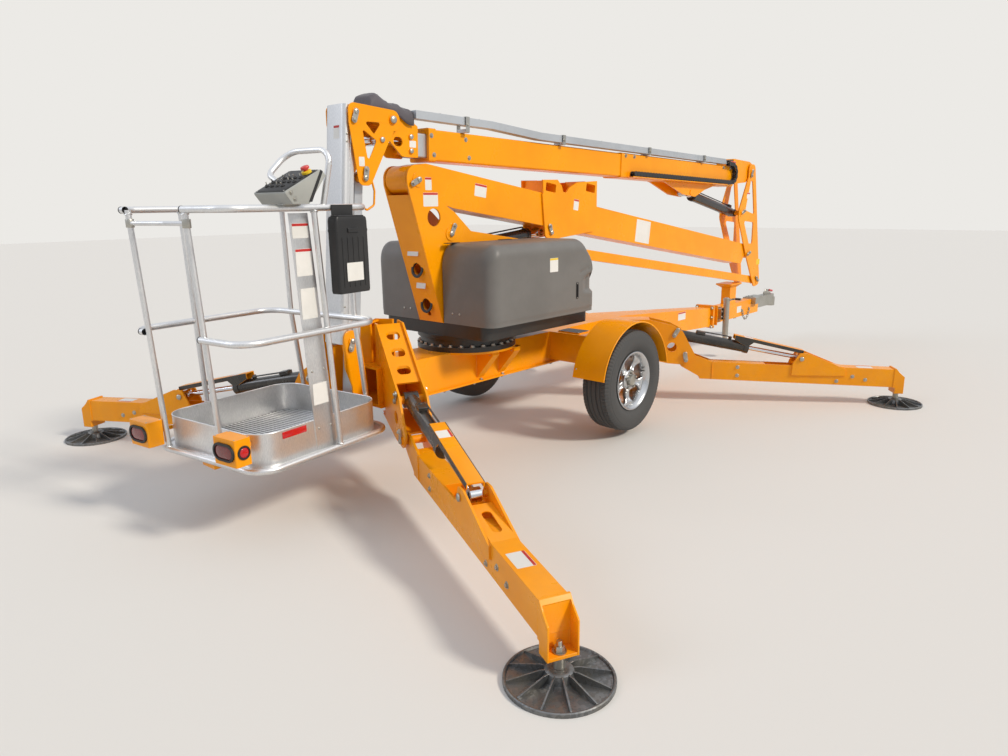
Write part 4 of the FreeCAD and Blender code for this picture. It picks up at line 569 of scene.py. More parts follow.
@dataclass(frozen=True)
class Finish:
    """A material, from what the real one is and how its surface was made."""

    name: str
    slot: str
    pattern: Pattern
    colour: str
    second: str
    roughness: float = 0.4
    spread: float = 0.1
    metallic: float = 0.0
    coat: float = 0.0
    grain: float = 2.0
    relief: float = 0.1
    wear: float = 0.0
    wear_colour: str = "8c8478"
    dust: float = 0.0
    ior: float = 1.5
    specular: float = 0.5
    stretch: tuple = (1.0, 1.0, 1.0)

    def material(self) -> bpy.types.Material:
        """The Blender material, made once."""
        known = bpy.data.materials.get(self.name)
        if known:
            return known
        made = bpy.data.materials.new(self.name)
        made.use_nodes = True
        tree = made.node_tree
        tree.nodes.clear()
        shader = node(tree, "ShaderNodeBsdfPrincipled", None, {"Metallic": self.metallic})
        if self.metallic < 1:
            shader.inputs["IOR"].default_value = self.ior
            shader.inputs["Specular IOR Level"].default_value = self.specular
        output = node(tree, "ShaderNodeOutputMaterial")
        tree.links.new(shader.outputs["BSDF"], output.inputs["Surface"])
        place = node(tree, "ShaderNodeTexCoord").outputs["Object"]
        colour, rough, height = self.surface(tree, place)
        if self.wear > 0:
            colour, rough = self.worn(tree, colour, rough)
        if self.dust > 0:
            colour = self.dusty(tree, place, colour)
        tree.links.new(colour, shader.inputs["Base Color"])
        tree.links.new(rough, shader.inputs["Roughness"])
        bump = node(tree, "ShaderNodeBump", None, {"Strength": min(1.0, self.relief * 4),
            "Distance": self.relief * MM, "Height": height})
        tree.links.new(bump.outputs["Normal"], shader.inputs["Normal"])
        shader.inputs["Coat Weight"].default_value = self.coat
        shader.inputs["Coat Roughness"].default_value = 0.08
        if self.pattern is Pattern.WOVEN:
            shader.inputs["Sheen Weight"].default_value = 0.25
            shader.inputs["Sheen Roughness"].default_value = 0.45
        # Painted glow: lenses and reflectors give off a faint light of their own red, though no lamp is lit
        if self.pattern is Pattern.LENS:
            shader.inputs["Emission Color"].default_value = linear(self.colour)
            shader.inputs["Emission Strength"].default_value = 0.06
        return made

    def surface(self, tree: Tree, place: Socket) -> tuple:
        """Colour, roughness and height of the clean surface.

        The grain is in millimetres: a noise or wave of scale 1000 / grain repeats once in
        that many millimetres of object space.

        Args:
            tree: The material's node tree.
            place: The object coordinates.

        Returns:
            Sockets for colour, roughness and height.
        """
        scale = 1000.0 / self.grain
        stretched = node(tree, "ShaderNodeMapping", None, {"Vector": place, "Scale": self.stretch}).outputs[
            "Vector"]
        broad = noise(tree, place, 3.0, 4.0, 0.6)
        fine = noise(tree, stretched, scale, 2.0, 0.5)
        mix_by, height = broad, fine
        if self.pattern is Pattern.SPANGLED:
            cells = node(tree, "ShaderNodeTexVoronoi", None, {"Vector": place, "Scale": scale}).outputs[
                "Color"]
            mix_by = node(tree, "ShaderNodeSeparateColor", None, {"Color": cells}).outputs["Red"]
        elif self.pattern is Pattern.WOVEN:
            warp, weft = (node(tree, "ShaderNodeTexWave", {"bands_direction": way},
                {"Vector": place, "Scale": scale / 6.2832, "Distortion": 0.4, "Detail": 1.0}).outputs[
                "Fac"] for way in "XY")
            height = maths(tree, "MAXIMUM", warp, weft)
        elif self.pattern in (Pattern.BRUSHED, Pattern.TURNED):
            mix_by = maths(tree, "MULTIPLY_ADD", fine, 0.6, maths(tree, "MULTIPLY", broad, 0.5))
        share = ranged(tree, mix_by, 0.32, 0.68, kind="SMOOTHSTEP")
        colour = mixed(tree, share, linear(self.colour), linear(self.second))
        half = self.spread / 2
        rough = ranged(tree, share, 0.0, 1.0, self.roughness - half, self.roughness + half)
        return colour, rough, height

    def worn(self, tree: Tree, colour: Socket, rough: Socket) -> tuple:
        """Rubs the finish through along edges, in patches.

        Args:
            tree: The material's node tree.
            colour: The clean colour.
            rough: The clean roughness.

        Returns:
            Sockets for the worn colour and roughness.
        """
        soft = node(tree, "ShaderNodeBevel", {"samples": 4}, {"Radius": 2.5 * MM}).outputs["Normal"]
        flat = node(tree, "ShaderNodeNewGeometry").outputs["Normal"]
        same = node(tree, "ShaderNodeVectorMath", {"operation": "DOT_PRODUCT"},
            {0: soft, 1: flat}).outputs["Value"]
        edge = ranged(tree, same, 0.97, 0.80)
        place = node(tree, "ShaderNodeTexCoord").outputs["Object"]
        patch = ranged(tree, noise(tree, place, 28.0, 5.0, 0.65), 0.50, 0.66)
        mask = maths(tree, "MULTIPLY", maths(tree, "MULTIPLY", edge, patch), self.wear)
        colour = mixed(tree, mask, colour, linear(self.wear_colour))
        return colour, mixed(tree, mask, rough, 0.6, "FLOAT")

    def dusty(self, tree: Tree, place: Socket, colour: Socket) -> Socket:
        """Lays road dust on the lower parts, thinning out with height."""
        height = node(tree, "ShaderNodeSeparateXYZ", None, {"Vector": place}).outputs["Z"]
        low = ranged(tree, height, 0.9, 0.0, 0.0, self.dust)
        cloud = ranged(tree, noise(tree, place, 9.0, 6.0, 0.65), 0.35, 0.75)
        return mixed(tree, maths(tree, "MULTIPLY", low, cloud), colour, linear("8f8269"))


# Two-pack polyurethane enamel sprayed on steel: deep gloss with a faint orange peel of 3 mm
YELLOW_ENAMEL = Finish("yellow_enamel", "yellow_paint", Pattern.SPRAYED, "fca300", "f59a00", roughness=0.30,
    spread=0.10, coat=0.06, grain=3.0, relief=0.05, wear=0.75, wear_colour="9a7a4a", dust=0.16,
    specular=0.26)
# Rotational moulded polyethylene: satin, with a fine leathery grain drawn at 1.5 mm
GREY_POLYETHYLENE = Finish("grey_polyethylene", "grey_cover", Pattern.MOULDED, "716f6c", "696764",
    roughness=0.46, spread=0.08, grain=1.5, relief=0.12, dust=0.25)
# Black enamel on the slewing ring and turret base
BLACK_ENAMEL = Finish("black_enamel", "black_paint", Pattern.SPRAYED, "1c1b1a", "262422", roughness=0.42,
    spread=0.15, coat=0.1, grain=3.0, relief=0.06, wear=0.6, wear_colour="56524c", dust=0.35)
# Gloss black enamel on the cylinder barrels
BARREL_ENAMEL = Finish("barrel_enamel", "ram_paint", Pattern.SPRAYED, "161617", "222122", roughness=0.28,
    spread=0.15, coat=0.25, grain=3.0, relief=0.05, wear=0.6, wear_colour="6a665f", dust=0.35)
# Hard chrome on ground rods: mirror-like, lines of polishing 0.8 mm apart
HARD_CHROME = Finish("hard_chrome", "chrome_rod", Pattern.TURNED, "e6e8ea", "d3d6da", roughness=0.14,
    spread=0.08, metallic=1.0, grain=0.8, relief=0.01)
# Silver paint on the jib and inner boom, slightly metallic and dull
SILVER_ENAMEL = Finish("silver_enamel", "silver_paint", Pattern.SPRAYED, "c6cbd0", "b5babf", roughness=0.40,
    spread=0.12, metallic=0.55, grain=3.0, relief=0.05, wear=0.3, wear_colour="8b8f93", dust=0.15)
# Mill finish aluminium, dulled by use: streaks of rolling 2 mm apart
MILL_ALUMINIUM = Finish("mill_aluminium", "bare_aluminium", Pattern.BRUSHED, "ececeb", "d3d4d5",
    roughness=0.38, spread=0.22, metallic=1.0, grain=2.0, relief=0.03, dust=0.2, stretch=(1.0, 1.0, 0.12))
# Weathered deck of the basket
DULL_ALUMINIUM = Finish("dull_aluminium", "bare_aluminium", Pattern.BRUSHED, "6e6f70", "57585a",
    roughness=0.55, spread=0.10, metallic=0.6, grain=2.0, relief=0.05, dust=0.2)
# Gravity cast aluminium wheel, machined and lacquered
CAST_ALUMINIUM = Finish("cast_aluminium", "alloy_rim", Pattern.TURNED, "d9dbdd", "c2c4c6", roughness=0.24,
    spread=0.14, metallic=1.0, grain=1.2, relief=0.02, dust=0.25)
# Bright zinc plating on the coupler, jack, pins and bolts
BRIGHT_ZINC = Finish("bright_zinc", "zinc_steel", Pattern.BRUSHED, "c9c8c2", "a9a69c", roughness=0.36,
    spread=0.18, metallic=1.0, grain=1.5, relief=0.04, dust=0.2)
# Hot-dip galvanising: crystals of zinc about 12 mm across
HOT_DIP_ZINC = Finish("hot_dip_zinc", "galvanised_steel", Pattern.SPANGLED, "7d8083", "6c6f72",
    roughness=0.48, spread=0.18, metallic=0.9, grain=12.0, relief=0.05, dust=0.4)
# Tyre rubber, grey with road dust
TYRE_RUBBER = Finish("tyre_rubber", "tyre_rubber", Pattern.RUBBER, "2a2a29", "3b3936", roughness=0.78,
    spread=0.12, grain=2.5, relief=0.18, dust=0.55)
# Injection moulded black plastic with a spark-eroded grain of 0.8 mm
BLACK_ABS = Finish("black_abs", "black_plastic", Pattern.MOULDED, "1d1d1e", "282828", roughness=0.50,
    spread=0.12, grain=0.8, relief=0.10, dust=0.2)
# Hose rubber
HOSE_RUBBER = Finish("hose_rubber", "black_plastic", Pattern.RUBBER, "1b1b1b", "252423", roughness=0.55,
    spread=0.12, grain=1.2, relief=0.08)
# Coated polyester cloth: threads drawn 2.5 mm apart so that they show
COATED_POLYESTER = Finish("coated_polyester", "black_fabric", Pattern.WOVEN, "474348", "565158",
    roughness=0.62, spread=0.14, grain=2.5, relief=0.25)
# Light grey powder coat on the control box
GREY_POWDER_COAT = Finish("grey_powder_coat", "black_plastic", Pattern.SPRAYED, "a9aba6", "9c9e9a",
    roughness=0.5, spread=0.1, grain=1.5, relief=0.10)
# Acrylic lamp lenses and reflectors with prisms of 4 mm; they carry a faint painted glow
RED_ACRYLIC = Finish("red_acrylic", "lamp_housing", Pattern.LENS, "c81420", "a80c18", roughness=0.16,
    spread=0.05, coat=0.6, grain=4.0, relief=0.30, ior=1.49)
DARK_RED_ACRYLIC = replace(RED_ACRYLIC, name="dark_red_acrylic", colour="7c120e", second="5e0c0a",
    roughness=0.18)
# Vinyl plates, left blank
WHITE_VINYL = Finish("white_vinyl", "black_plastic", Pattern.PRINTED, "e9e8e4", "dcdbd6", roughness=0.38,
    spread=0.05, grain=6.0, relief=0.01)
YELLOW_VINYL = replace(WHITE_VINYL, name="yellow_vinyl", colour="f0cf2c", second="e6c21e")
RED_VINYL = replace(WHITE_VINYL, name="red_vinyl", colour="c9302c", second="b82824")
# Soft red plastic of the handle and the stop button
RED_PLASTIC = Finish("red_plastic", "black_plastic", Pattern.MOULDED, "d3352f", "c22c28", roughness=0.36,
    spread=0.06, coat=0.2, grain=1.5, relief=0.04)

NODE_FINISHES = {finish.slot: finish for finish in (YELLOW_ENAMEL, GREY_POLYETHYLENE, BLACK_ENAMEL,
    TYRE_RUBBER, CAST_ALUMINIUM, BRIGHT_ZINC, HOT_DIP_ZINC, BARREL_ENAMEL, HARD_CHROME, SILVER_ENAMEL,
    MILL_ALUMINIUM, BLACK_ABS, COATED_POLYESTER)}
NODE_FINISHES["lamp_housing"] = YELLOW_ENAMEL


def carve(name: str, hollow: Shape, new_name: str, body: str, finish: Finish) -> bpy.types.Object:
    """A CAD node's solid with a hollow taken out of it.

    Args:
        name: The node.
        hollow: The closed shape that is taken out.
        new_name: The new piece's name.
        body: The body that carries it.
        finish: Its material.

    Returns:
        The Blender object, which replaces the node.
    """
    work = bmesh.new()
    work.from_mesh(frame["nodes"][name].data)
    bmesh.ops.remove_doubles(work, verts=work.verts, dist=MERGE)
    bmesh.ops.dissolve_limit(work, angle_limit=FLAT, verts=work.verts, edges=work.edges)
    solid = bpy.data.meshes.new(new_name)
    work.to_mesh(solid)
    work.free()
    made = bpy.data.objects.new(new_name, solid)
    tool = bpy.data.objects.new("hollow", hollow.mesh("hollow"))
    for item in (made, tool):
        bpy.context.scene.collection.objects.link(item)
    cut = made.modifiers.new("hollow", "BOOLEAN")
    cut.operation, cut.solver, cut.object = "DIFFERENCE", "EXACT", tool
    result = bpy.data.meshes.new_from_object(made.evaluated_get(bpy.context.evaluated_depsgraph_get()))
    made.modifiers.clear()
    made.data = result
    result.name = new_name
    bpy.data.objects.remove(tool)
    result.materials.clear()
    result.materials.append(finish.material())
    result.shade_smooth()
    soften(made, 0.0016)
    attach(made, body)
    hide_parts(name)
    log.info("piece %s: %d faces", new_name, len(result.polygons))
    return made


# Small hardware, gathered by body and finish


def hex_bolt(across: float = 0.018, height: float = 0.008, washer: bool = True) -> Shape:
    """A hexagon head on a washer, standing on Z = 0."""
    made = Shape()
    if washer:
        w = across * 0.95
        made.lathe([(0.0, 0.0), (w, 0.0), (w, 0.0015), (w - 0.0008, 0.0022), (0.0, 0.0022)], parts=20)
    r = across / 2 / math.cos(math.pi / 6)
    base = 0.002 if washer else 0.0
    made.lathe([(0.0, base), (r, base), (r, base + height * 0.8), (r * 0.86, base + height),
        (0.0, base + height)], parts=6)
    return made


def dome(radius: float, height: float, parts: int = 20) -> Shape:
    """A flattened dome standing on Z = 0, such as a rivet or a button."""
    a = np.linspace(0, math.pi / 2, 6)
    profile = [(0.0, 0.0), (radius, 0.0)] + [(radius * math.cos(t), height * (0.25 + 0.75 * math.sin(t)))
        for t in a]
    profile[-1] = (0.0, height)
    return Shape().lathe(profile, parts=parts)


def oblong(length: float, width: float, parts: int = 8) -> Array:
    """An outline with round ends, along X about the origin."""
    a = np.linspace(-math.pi / 2, math.pi / 2, parts)
    r = width / 2
    right = np.column_stack([length / 2 - r + r * np.cos(a), r * np.sin(a)])
    return np.concatenate([right, -right])


def pin_cap(radius: float = 0.024, reach: float = 0.058, angle: float = 25.0) -> Shape:
    """A pivot pin's end with its oblong keeper plate and one bolt, standing on Z = 0."""
    a = math.radians(angle)
    turn = Stand((0.0, 0.0, 0.0), (math.cos(a), math.sin(a), 0.0), (-math.sin(a), math.cos(a), 0.0))
    made = Shape()
    made.slab(oblong(reach + 0.036, 0.034), 0.0, 0.006, turn.at(reach / 2, 0, 0), 0.0012)
    made.lathe([(0.0, 0.006), (radius * 0.62, 0.006), (radius * 0.62, 0.010), (radius * 0.5, 0.012),
        (radius * 0.2, 0.012), (radius * 0.16, 0.009), (0.0, 0.009)], turn, 24)
    made.join(hex_bolt(0.017, 0.009), turn.at(reach, 0, 0.006))
    return made


class Fittings:
    """Bolts, caps, plates and other small pieces, joined into one mesh per body and finish."""

    def __init__(self, name: str, body: str = "chassis") -> None:
        """Starts an empty set under a name, for the body that carries what names no other."""
        self.name = name
        self.body = body
        self.found: dict = {}

    def on(self, finish: Finish, body: str = "") -> Shape:
        """The shape that gathers one finish on one body."""
        return self.found.setdefault((body or self.body, finish), Shape())

    def put(self, finish: Finish, part: Shape, *places: Callable, body: str = "") -> None:
        """Sets a small part in each of the places."""
        self.on(finish, body).repeat(part, places)

    def zinc(self, part: Shape, *places: Callable, body: str = "") -> None:
        """Sets a zinc plated part in each of the places."""
        self.put(BRIGHT_ZINC, part, *places, body=body)

    def plate(self, place: Stand, width: float, height: float, finish: Optional[Finish] = None,
            band: Optional[Finish] = None, body: str = "") -> None:
        """Sticks a blank plate on a face, with a coloured band along its upper edge if one is given."""
        self.on(finish or WHITE_VINYL, body).slab(box_outline(width, height, 0.004, 30), 0.0, 0.0007, place)
        if band is not None:
            edge = place.at(0, height / 2 - 0.0075, 0)
            self.on(band, body).slab(box_outline(width * 0.985, 0.012, 0.002, 45), 0.0003, 0.0011, edge)

    def pieces(self) -> None:
        """Makes the joined pieces."""
        for (body, finish), shape in self.found.items():
            if shape.count:
                shape.piece(f"{self.name}_{finish.name}_{body}", body, finish)


# Undercarriage


@dataclass(frozen=True)
class Wheels:
    """Road wheels: ribbed highway tyres on five-spoke cast aluminium wheels."""

    y: float = 0.752
    z: float = 0.402
    radius: float = 0.359
    width: float = 0.225
    bead: float = 0.196
    lug_circle: float = 0.0575
    groove: float = 0.007
    sipes: int = 86

    def hold(self, sign: int) -> Stand:
        """The wheel's place, its Z axis looking outwards."""
        return Stand((AXLE_X, sign * self.y, self.z)).facing((0, sign, 0))

    def tyre(self, side: str, sign: int) -> None:
        """Makes a tyre as one grid round the axle.

        The section runs from bead to bead. Its radius drops by the groove's depth in four
        grooves round the tread, and by half of that in cuts across the shoulders that repeat
        round the wheel. The side wall carries thin rings.
        """
        half = self.width / 2
        h = self.radius - self.bead
        section = [(-0.080, 0.0), (-0.083, 0.012), (-0.096, 0.030), (-0.106, 0.048), (-0.1118, 0.066),
            (-0.1125, 0.080), (-0.1115, 0.100), (-0.1095, 0.118), (-0.1075, 0.1205), (-0.1072, 0.124),
            (-0.1055, 0.132), (-0.101, 0.1425), (-0.095, 0.1515)]
        tread = np.linspace(-0.090, 0.090, 60)
        crown = h - 0.0045 * np.abs(tread / 0.090) ** 3
        wall = np.array(section) * [half / 0.1125, h / 0.163]
        other = wall[::-1] * [-1, 1]
        a = np.concatenate([wall[:, 0], tread * half / 0.1125, other[:, 0]])
        r = self.bead + np.concatenate([wall[:, 1], crown, other[:, 1]])
        r[0] = r[-1] = self.bead - 0.001
        count = self.sipes * 6
        turn = turns(count)
        grooves = np.zeros_like(a)
        for middle in (-0.054, -0.019, 0.019, 0.054):
            grooves = np.maximum(grooves, 1 - ease(np.abs(a - middle), 0.0030, 0.0052))
        grooves[:13] = grooves[-13:] = 0
        shoulder = ease(np.abs(a), 0.062, 0.066) * (1 - ease(np.abs(a), 0.1035, 0.107))
        phase = (np.arange(count) % 6)[:, None]
        cut = np.where((phase + (a > 0)[None, :] * 3) % 6 < 2, 1.0, 0.0) * shoulder[None, :]
        radius = r[None, :] - self.groove * grooves[None, :] - 0.0040 * cut
        grid = np.stack([radius * np.cos(turn)[:, None], radius * np.sin(turn)[:, None],
            np.broadcast_to(a, radius.shape)], -1)
        made = Shape().grid(self.hold(sign)(grid), close_u=True, close_v=True)
        made.piece(f"tyre_tread_{side}", f"wheel_{side}", TYRE_RUBBER, smooth=32, replaces=[f"tyre_{side}"])

    def rim(self, side: str, sign: int) -> None:
        """Makes a wheel: a barrel with lips, five dished spokes, a hub and its cap."""
        place = self.hold(sign)
        b = self.bead
        made = Shape()
        made.lathe([(b - 0.030, -0.083), (b - 0.010, -0.090), (b + 0.010, -0.098), (b + 0.012, -0.094),
            (b + 0.010, -0.088), (b - 0.002, -0.084), (b - 0.002, -0.060), (b - 0.020, -0.045),
            (b - 0.020, 0.030), (b - 0.002, 0.050), (b - 0.002, 0.084), (b + 0.010, 0.088),
            (b + 0.013, 0.092), (b + 0.012, 0.0965), (b + 0.008, 0.098), (b + 0.001, 0.095),
            (b - 0.008, 0.086), (b - 0.018, 0.070), (b - 0.024, 0.050), (b - 0.028, 0.030),
            (b - 0.028, -0.045)], place, 96, closed=True)
        t = np.linspace(0, 1, 18)
        reach = 0.050 + (b - 0.020 - 0.050) * t
        rise = 0.060 - 0.016 * np.sin(math.pi * np.clip(t * 1.15, 0, 1)) + 0.004 * t
        half = 0.036 - 0.014 * np.sin(math.pi * t ** 0.85) + 0.022 * ease(t, 0.62, 1.0)
        thick = 0.030 - 0.008 * t
        across = np.array([-1, -1, -0.93, -0.80, -0.62, -0.45, -0.22, 0, 0.22, 0.45, 0.62, 0.80, 0.93, 1,
            1])
        front = np.array([-1, -0.35, -0.10, 0, 0.0, -0.16, -0.24, -0.26, -0.24, -0.16, 0.0, 0, -0.10, -0.35,
            -1])
        dip = ease(t, 0.16, 0.34) * (1 - ease(t, 0.66, 0.86))
        level = np.where(front[None] > -0.3, front[None] * np.where((np.abs(across) < 0.55)[None],
            dip[:, None], 1.0), front[None])
        spoke = np.stack([np.broadcast_to(reach[:, None], level.shape), half[:, None] * across[None],
            rise[:, None] + level * thick[:, None]], -1)
        for k in range(5):
            made.grid(place(turned(0, 0, 0, 90 + 36 + 72 * k)(spoke)), close_v=True, cap=True)
        made.lathe([(0.0, 0.032), (0.072, 0.032), (0.075, 0.040), (0.074, 0.058), (0.068, 0.064),
            (0.050, 0.066), (0.046, 0.060), (0.0, 0.060)], place, 48)
        around = [math.radians(90 + 72 * k) for k in range(5)]
        wells = [place.at(self.lug_circle * math.cos(a), self.lug_circle * math.sin(a), 0) for a in around]
        for well in wells:
            made.lathe([(0.0, 0.060), (0.0135, 0.060), (0.0150, 0.066), (0.0128, 0.0668), (0.0115, 0.064),
                (0.0, 0.064)], well, 18)
        body = f"wheel_{side}"
        made.piece(f"wheel_casting_{side}", body, CAST_ALUMINIUM, smooth=30, replaces=[f"rim_{side}"])
        small = Fittings("wheel", body)
        cap = Shape().lathe([(0.0, 0.058), (0.036, 0.058), (0.0375, 0.064), (0.037, 0.080), (0.033, 0.088),
            (0.030, 0.089), (0.028, 0.086), (0.0, 0.088)], place, 40)
        small.on(BRIGHT_ZINC).join(cap)
        for well in wells:
            nut = Shape().lathe([(0.0, 0.0), (0.0105, 0.0), (0.0105, 0.012), (0.0085, 0.017), (0.0, 0.019)],
                parts=6)
            small.zinc(nut, well.at(0, 0, 0.064))
        valve = place.at(0.150, 0.045, 0.074)
        small.put(BLACK_ABS, Shape().lathe([(0.0, -0.02), (0.004, -0.02), (0.004, 0.012), (0.003, 0.014),
            (0.0, 0.014)], parts=12), valve)
        small.pieces()

    def build(self) -> None:
        """Makes both wheels."""
        for side, sign in SIDES:
            self.tyre(side, sign)
            self.rim(side, sign)


@dataclass(frozen=True)
class Chassis:
    """Bolts, plates, wired edges and welds of the frame, its axle and its fenders."""

    wheel_z: float = 0.402
    fender_low: float = 0.472
    fender_radius: float = 0.420
    fender_outer: float = 0.870

    def build(self) -> None:
        """Makes the chassis details."""
        small = Fittings("frame")
        bolt = hex_bolt(0.022, 0.011)
        ring = [MACHINE.at(-0.800 + 0.318 * math.cos(a), 0.318 * math.sin(a), 0.724) for a in turns(28)]
        small.zinc(bolt, *ring)
        for x in (-0.830, -0.615):
            for sign in (1, -1):
                for dx in (-0.018, 0.018):
                    under = MACHINE.at(x + dx, sign * 0.272, 0.650).facing((0, 0, -1))
                    small.zinc(hex_bolt(0.018, 0.009), under)
                foot = MACHINE.at(x, sign * 0.160, 0.465).facing((0, 0, 1))
                small.zinc(hex_bolt(0.018, 0.009), foot)
        for sign in (1, -1):
            side = MACHINE.at(0.0, sign * 0.300, 0.698)
            small.on(BLACK_ABS).slab(box_outline(0.132, 0.192, 0.010), 0.0, 0.0012, side.at(0.030, 0, 0))
            for dx in (-0.028, 0.088):
                for dy in (-0.088, 0.088):
                    small.zinc(dome(0.005, 0.003, 12), side.at(dx, dy, 0.001))
            lug = MACHINE.flank(sign, 0.070, 0.6005, 0.560)
            small.zinc(hex_bolt(0.024, 0.012), lug)
            for dx, z in ((-0.404, 0.500), (0.404, 0.500), (-0.404, 0.530), (0.404, 0.530)):
                spot = MACHINE.at(dx, sign * 0.640, z).facing((math.copysign(1, dx), 0, 0))
                small.zinc(dome(0.006, 0.004, 14), spot)
        for x in np.linspace(-1.45, 0.75, 9):
            for sign in (1, -1):
                below = MACHINE.at(float(x), sign * 0.161, 0.453).facing((0, 0, -1))
                small.zinc(hex_bolt(0.014, 0.006), below)
        for y in (-0.085, 0.085):
            for z in (0.350, 0.4475, 0.545):
                front = MACHINE.at(2.754, y, z).facing((1, 0, 0))
                small.zinc(hex_bolt(0.020, 0.010), front)
                back = MACHINE.at(2.726, y, z).facing((-1, 0, 0))
                small.zinc(hex_bolt(0.020, 0.013), back)
        small.pieces()
        self.rolled_edges()
        self.seams()

    def rolled_edges(self) -> None:
        """The wired edge along the outer rim of each fender."""
        made = Shape()
        end = math.asin((self.fender_low - self.wheel_z) / self.fender_radius)
        a = np.linspace(end, math.pi - end, 48)
        for sign in (1, -1):
            r = self.fender_radius - 0.0035
            path = np.column_stack([r * np.cos(a), np.full(48, sign * (self.fender_outer - 0.001)),
                self.wheel_z + r * np.sin(a)])
            made.tube(path, 0.005, 10, hint=(0, 1, 0), place=MACHINE)
        made.piece("fender_wired_edges", "chassis", YELLOW_ENAMEL)

    def seams(self) -> None:
        """Weld beads where plates meet the main tube, the axle beam and the ring."""
        made = Shape()
        for x in (-0.830, -0.615):
            for sign in (1, -1):
                for dx in (-0.033, 0.033):
                    corner = [(x + dx, sign * 0.151, 0.485), (x + dx, sign * 0.151, 0.674)]
                    made.weld(corner, seed=3, place=MACHINE)
                    made.weld([(x + dx, sign * 0.152, 0.677), (x + dx, sign * 0.298, 0.677)], seed=4,
                        place=MACHINE)
        for sign in (1, -1):
            for x in (-0.071, 0.131):
                made.weld([(x, sign * 0.151, 0.482), (x, sign * 0.151, 0.688)], seed=5, place=MACHINE)
            made.weld([(-1.69, sign * 0.151, 0.4665), (0.89, sign * 0.151, 0.4665)], 0.003, 6, MACHINE)
        for seed, y in ((7, -0.056), (8, 0.056)):
            made.weld([(2.755, y, 0.366), (2.755, y, 0.529)], seed=seed, place=MACHINE)
        for seed, y in ((9, -0.051), (10, 0.051)):
            made.weld([(3.206, y, 0.532), (3.354, y, 0.532)], seed=seed, place=MACHINE)
        made.piece("frame_welds", "chassis", YELLOW_ENAMEL)


@dataclass(frozen=True)
class Hitch:
    """Details of the drawbar: breakaway box, safety chains, jack crank and coupler latch."""

    y: float = 0.055
    chain_pitch: float = 0.029
    chain_y: float = 0.0635

    def build(self) -> None:
        """Makes the pieces at the hitch."""
        small = Fittings("hitch")
        for z in (0.432, 0.488):
            for x in (2.928, 2.992):
                small.zinc(hex_bolt(0.016, 0.008), MACHINE.flank(-1, x, 0.101, z))
        for x in (3.800, 3.860):
            small.zinc(hex_bolt(0.019, 0.010), *[MACHINE.at(x, y, 0.545) for y in (-0.020, 0.020)])
        grip = Shape().lathe([(0.0, 0.0), (0.0105, 0.0), (0.0125, 0.004), (0.0125, 0.050), (0.0105, 0.060),
            (0.0, 0.062)], parts=20)
        small.put(BLACK_ABS, grip, MACHINE.flank(-1, 3.048, 0.186, 0.614))
        small.zinc(dome(0.020, 0.010), MACHINE.at(2.960, -0.132, 0.628))
        # Black junction box on the left cheek of the drawbar
        box = MACHINE.at(3.560, 0.055, 0.450).facing((0, 1, 0))
        small.on(BLACK_ABS).slab(box_outline(0.150, 0.100, 0.012), 0.0, 0.046, box, 0.003)
        small.on(BLACK_ABS).slab(box_outline(0.154, 0.104, 0.012), 0.034, 0.038, box, 0.001)
        small.zinc(dome(0.004, 0.002, 10), *[box.at(dx, dy, 0.046) for dx in (-0.064, 0.064)
            for dy in (-0.040, 0.040)])
        lever = rounded([(4.262, 0.0, 0.560, 0), (4.285, 0.0, 0.589, 0.012), (4.470, 0.0, 0.557, 0)], 12,
            closed=False)
        small.on(BRIGHT_ZINC).tube(lever, 0.008, 14, place=MACHINE, hint=(0, 1, 0))
        small.on(RED_PLASTIC).tube([(4.385, 0.0, 0.5717), (4.474, 0.0, 0.5563)], 0.0135, 20, place=MACHINE,
            hint=(0, 1, 0))
        self.chains(small)
        small.plate(MACHINE.flank(-1, 3.450, 0.055, 0.448), 0.110, 0.070)
        small.plate(MACHINE.at(2.05, -0.1025, 0.545).facing((0.02, -1, 0)), 0.150, 0.075, band=RED_VINYL)
        small.pieces()

    def chains(self, small: Fittings) -> None:
        """Two safety chains, hung in short loops from eyes beside the drawbar.

        The links are stadium rings, each turned a quarter to the one before, along a hanging
        curve that is a parabola between its two ends.
        """
        a = turns(20)
        ring = np.column_stack([0.0115 * np.cos(a) + np.sign(np.cos(a)) * 0.0075, 0.0095 * np.sin(a),
            0 * a])
        for sign in (1, -1):
            start = np.array([3.700, sign * self.chain_y, 0.420])
            end = np.array([3.520, sign * self.chain_y, 0.420])
            t = np.linspace(0, 1, 200)
            path = start + (end - start) * t[:, None]
            path[:, 2] -= 0.44 * t * (1 - t) * 0.9
            for k, (here, ahead) in enumerate(strides(path, self.chain_pitch, 0.004)):
                side = np.array([0.0, 1.0, 0.0])
                over = np.cross(ahead, side)
                if k % 2:
                    side, over = over, -side
                link = Stand(tuple(here), tuple(ahead), tuple(side), tuple(over))
                small.on(BRIGHT_ZINC).tube(ring, 0.0032, 8, True, place=lambda q, w=link: MACHINE(w(q)))
            for x in (3.700, 3.520):
                small.on(BRIGHT_ZINC).tube(np.column_stack([x + 0.012 * np.cos(a),
                    np.full(20, sign * self.chain_y), 0.424 + 0.012 * np.sin(a)]), 0.004, 8, True,
                    hint=(0, 1, 0), place=MACHINE)
                small.zinc(Shape().lathe([(0, 0), (0.012, 0), (0.012, 0.006), (0, 0.008)], parts=16),
                    MACHINE.flank(sign, x, self.y, 0.436))


# Outriggers


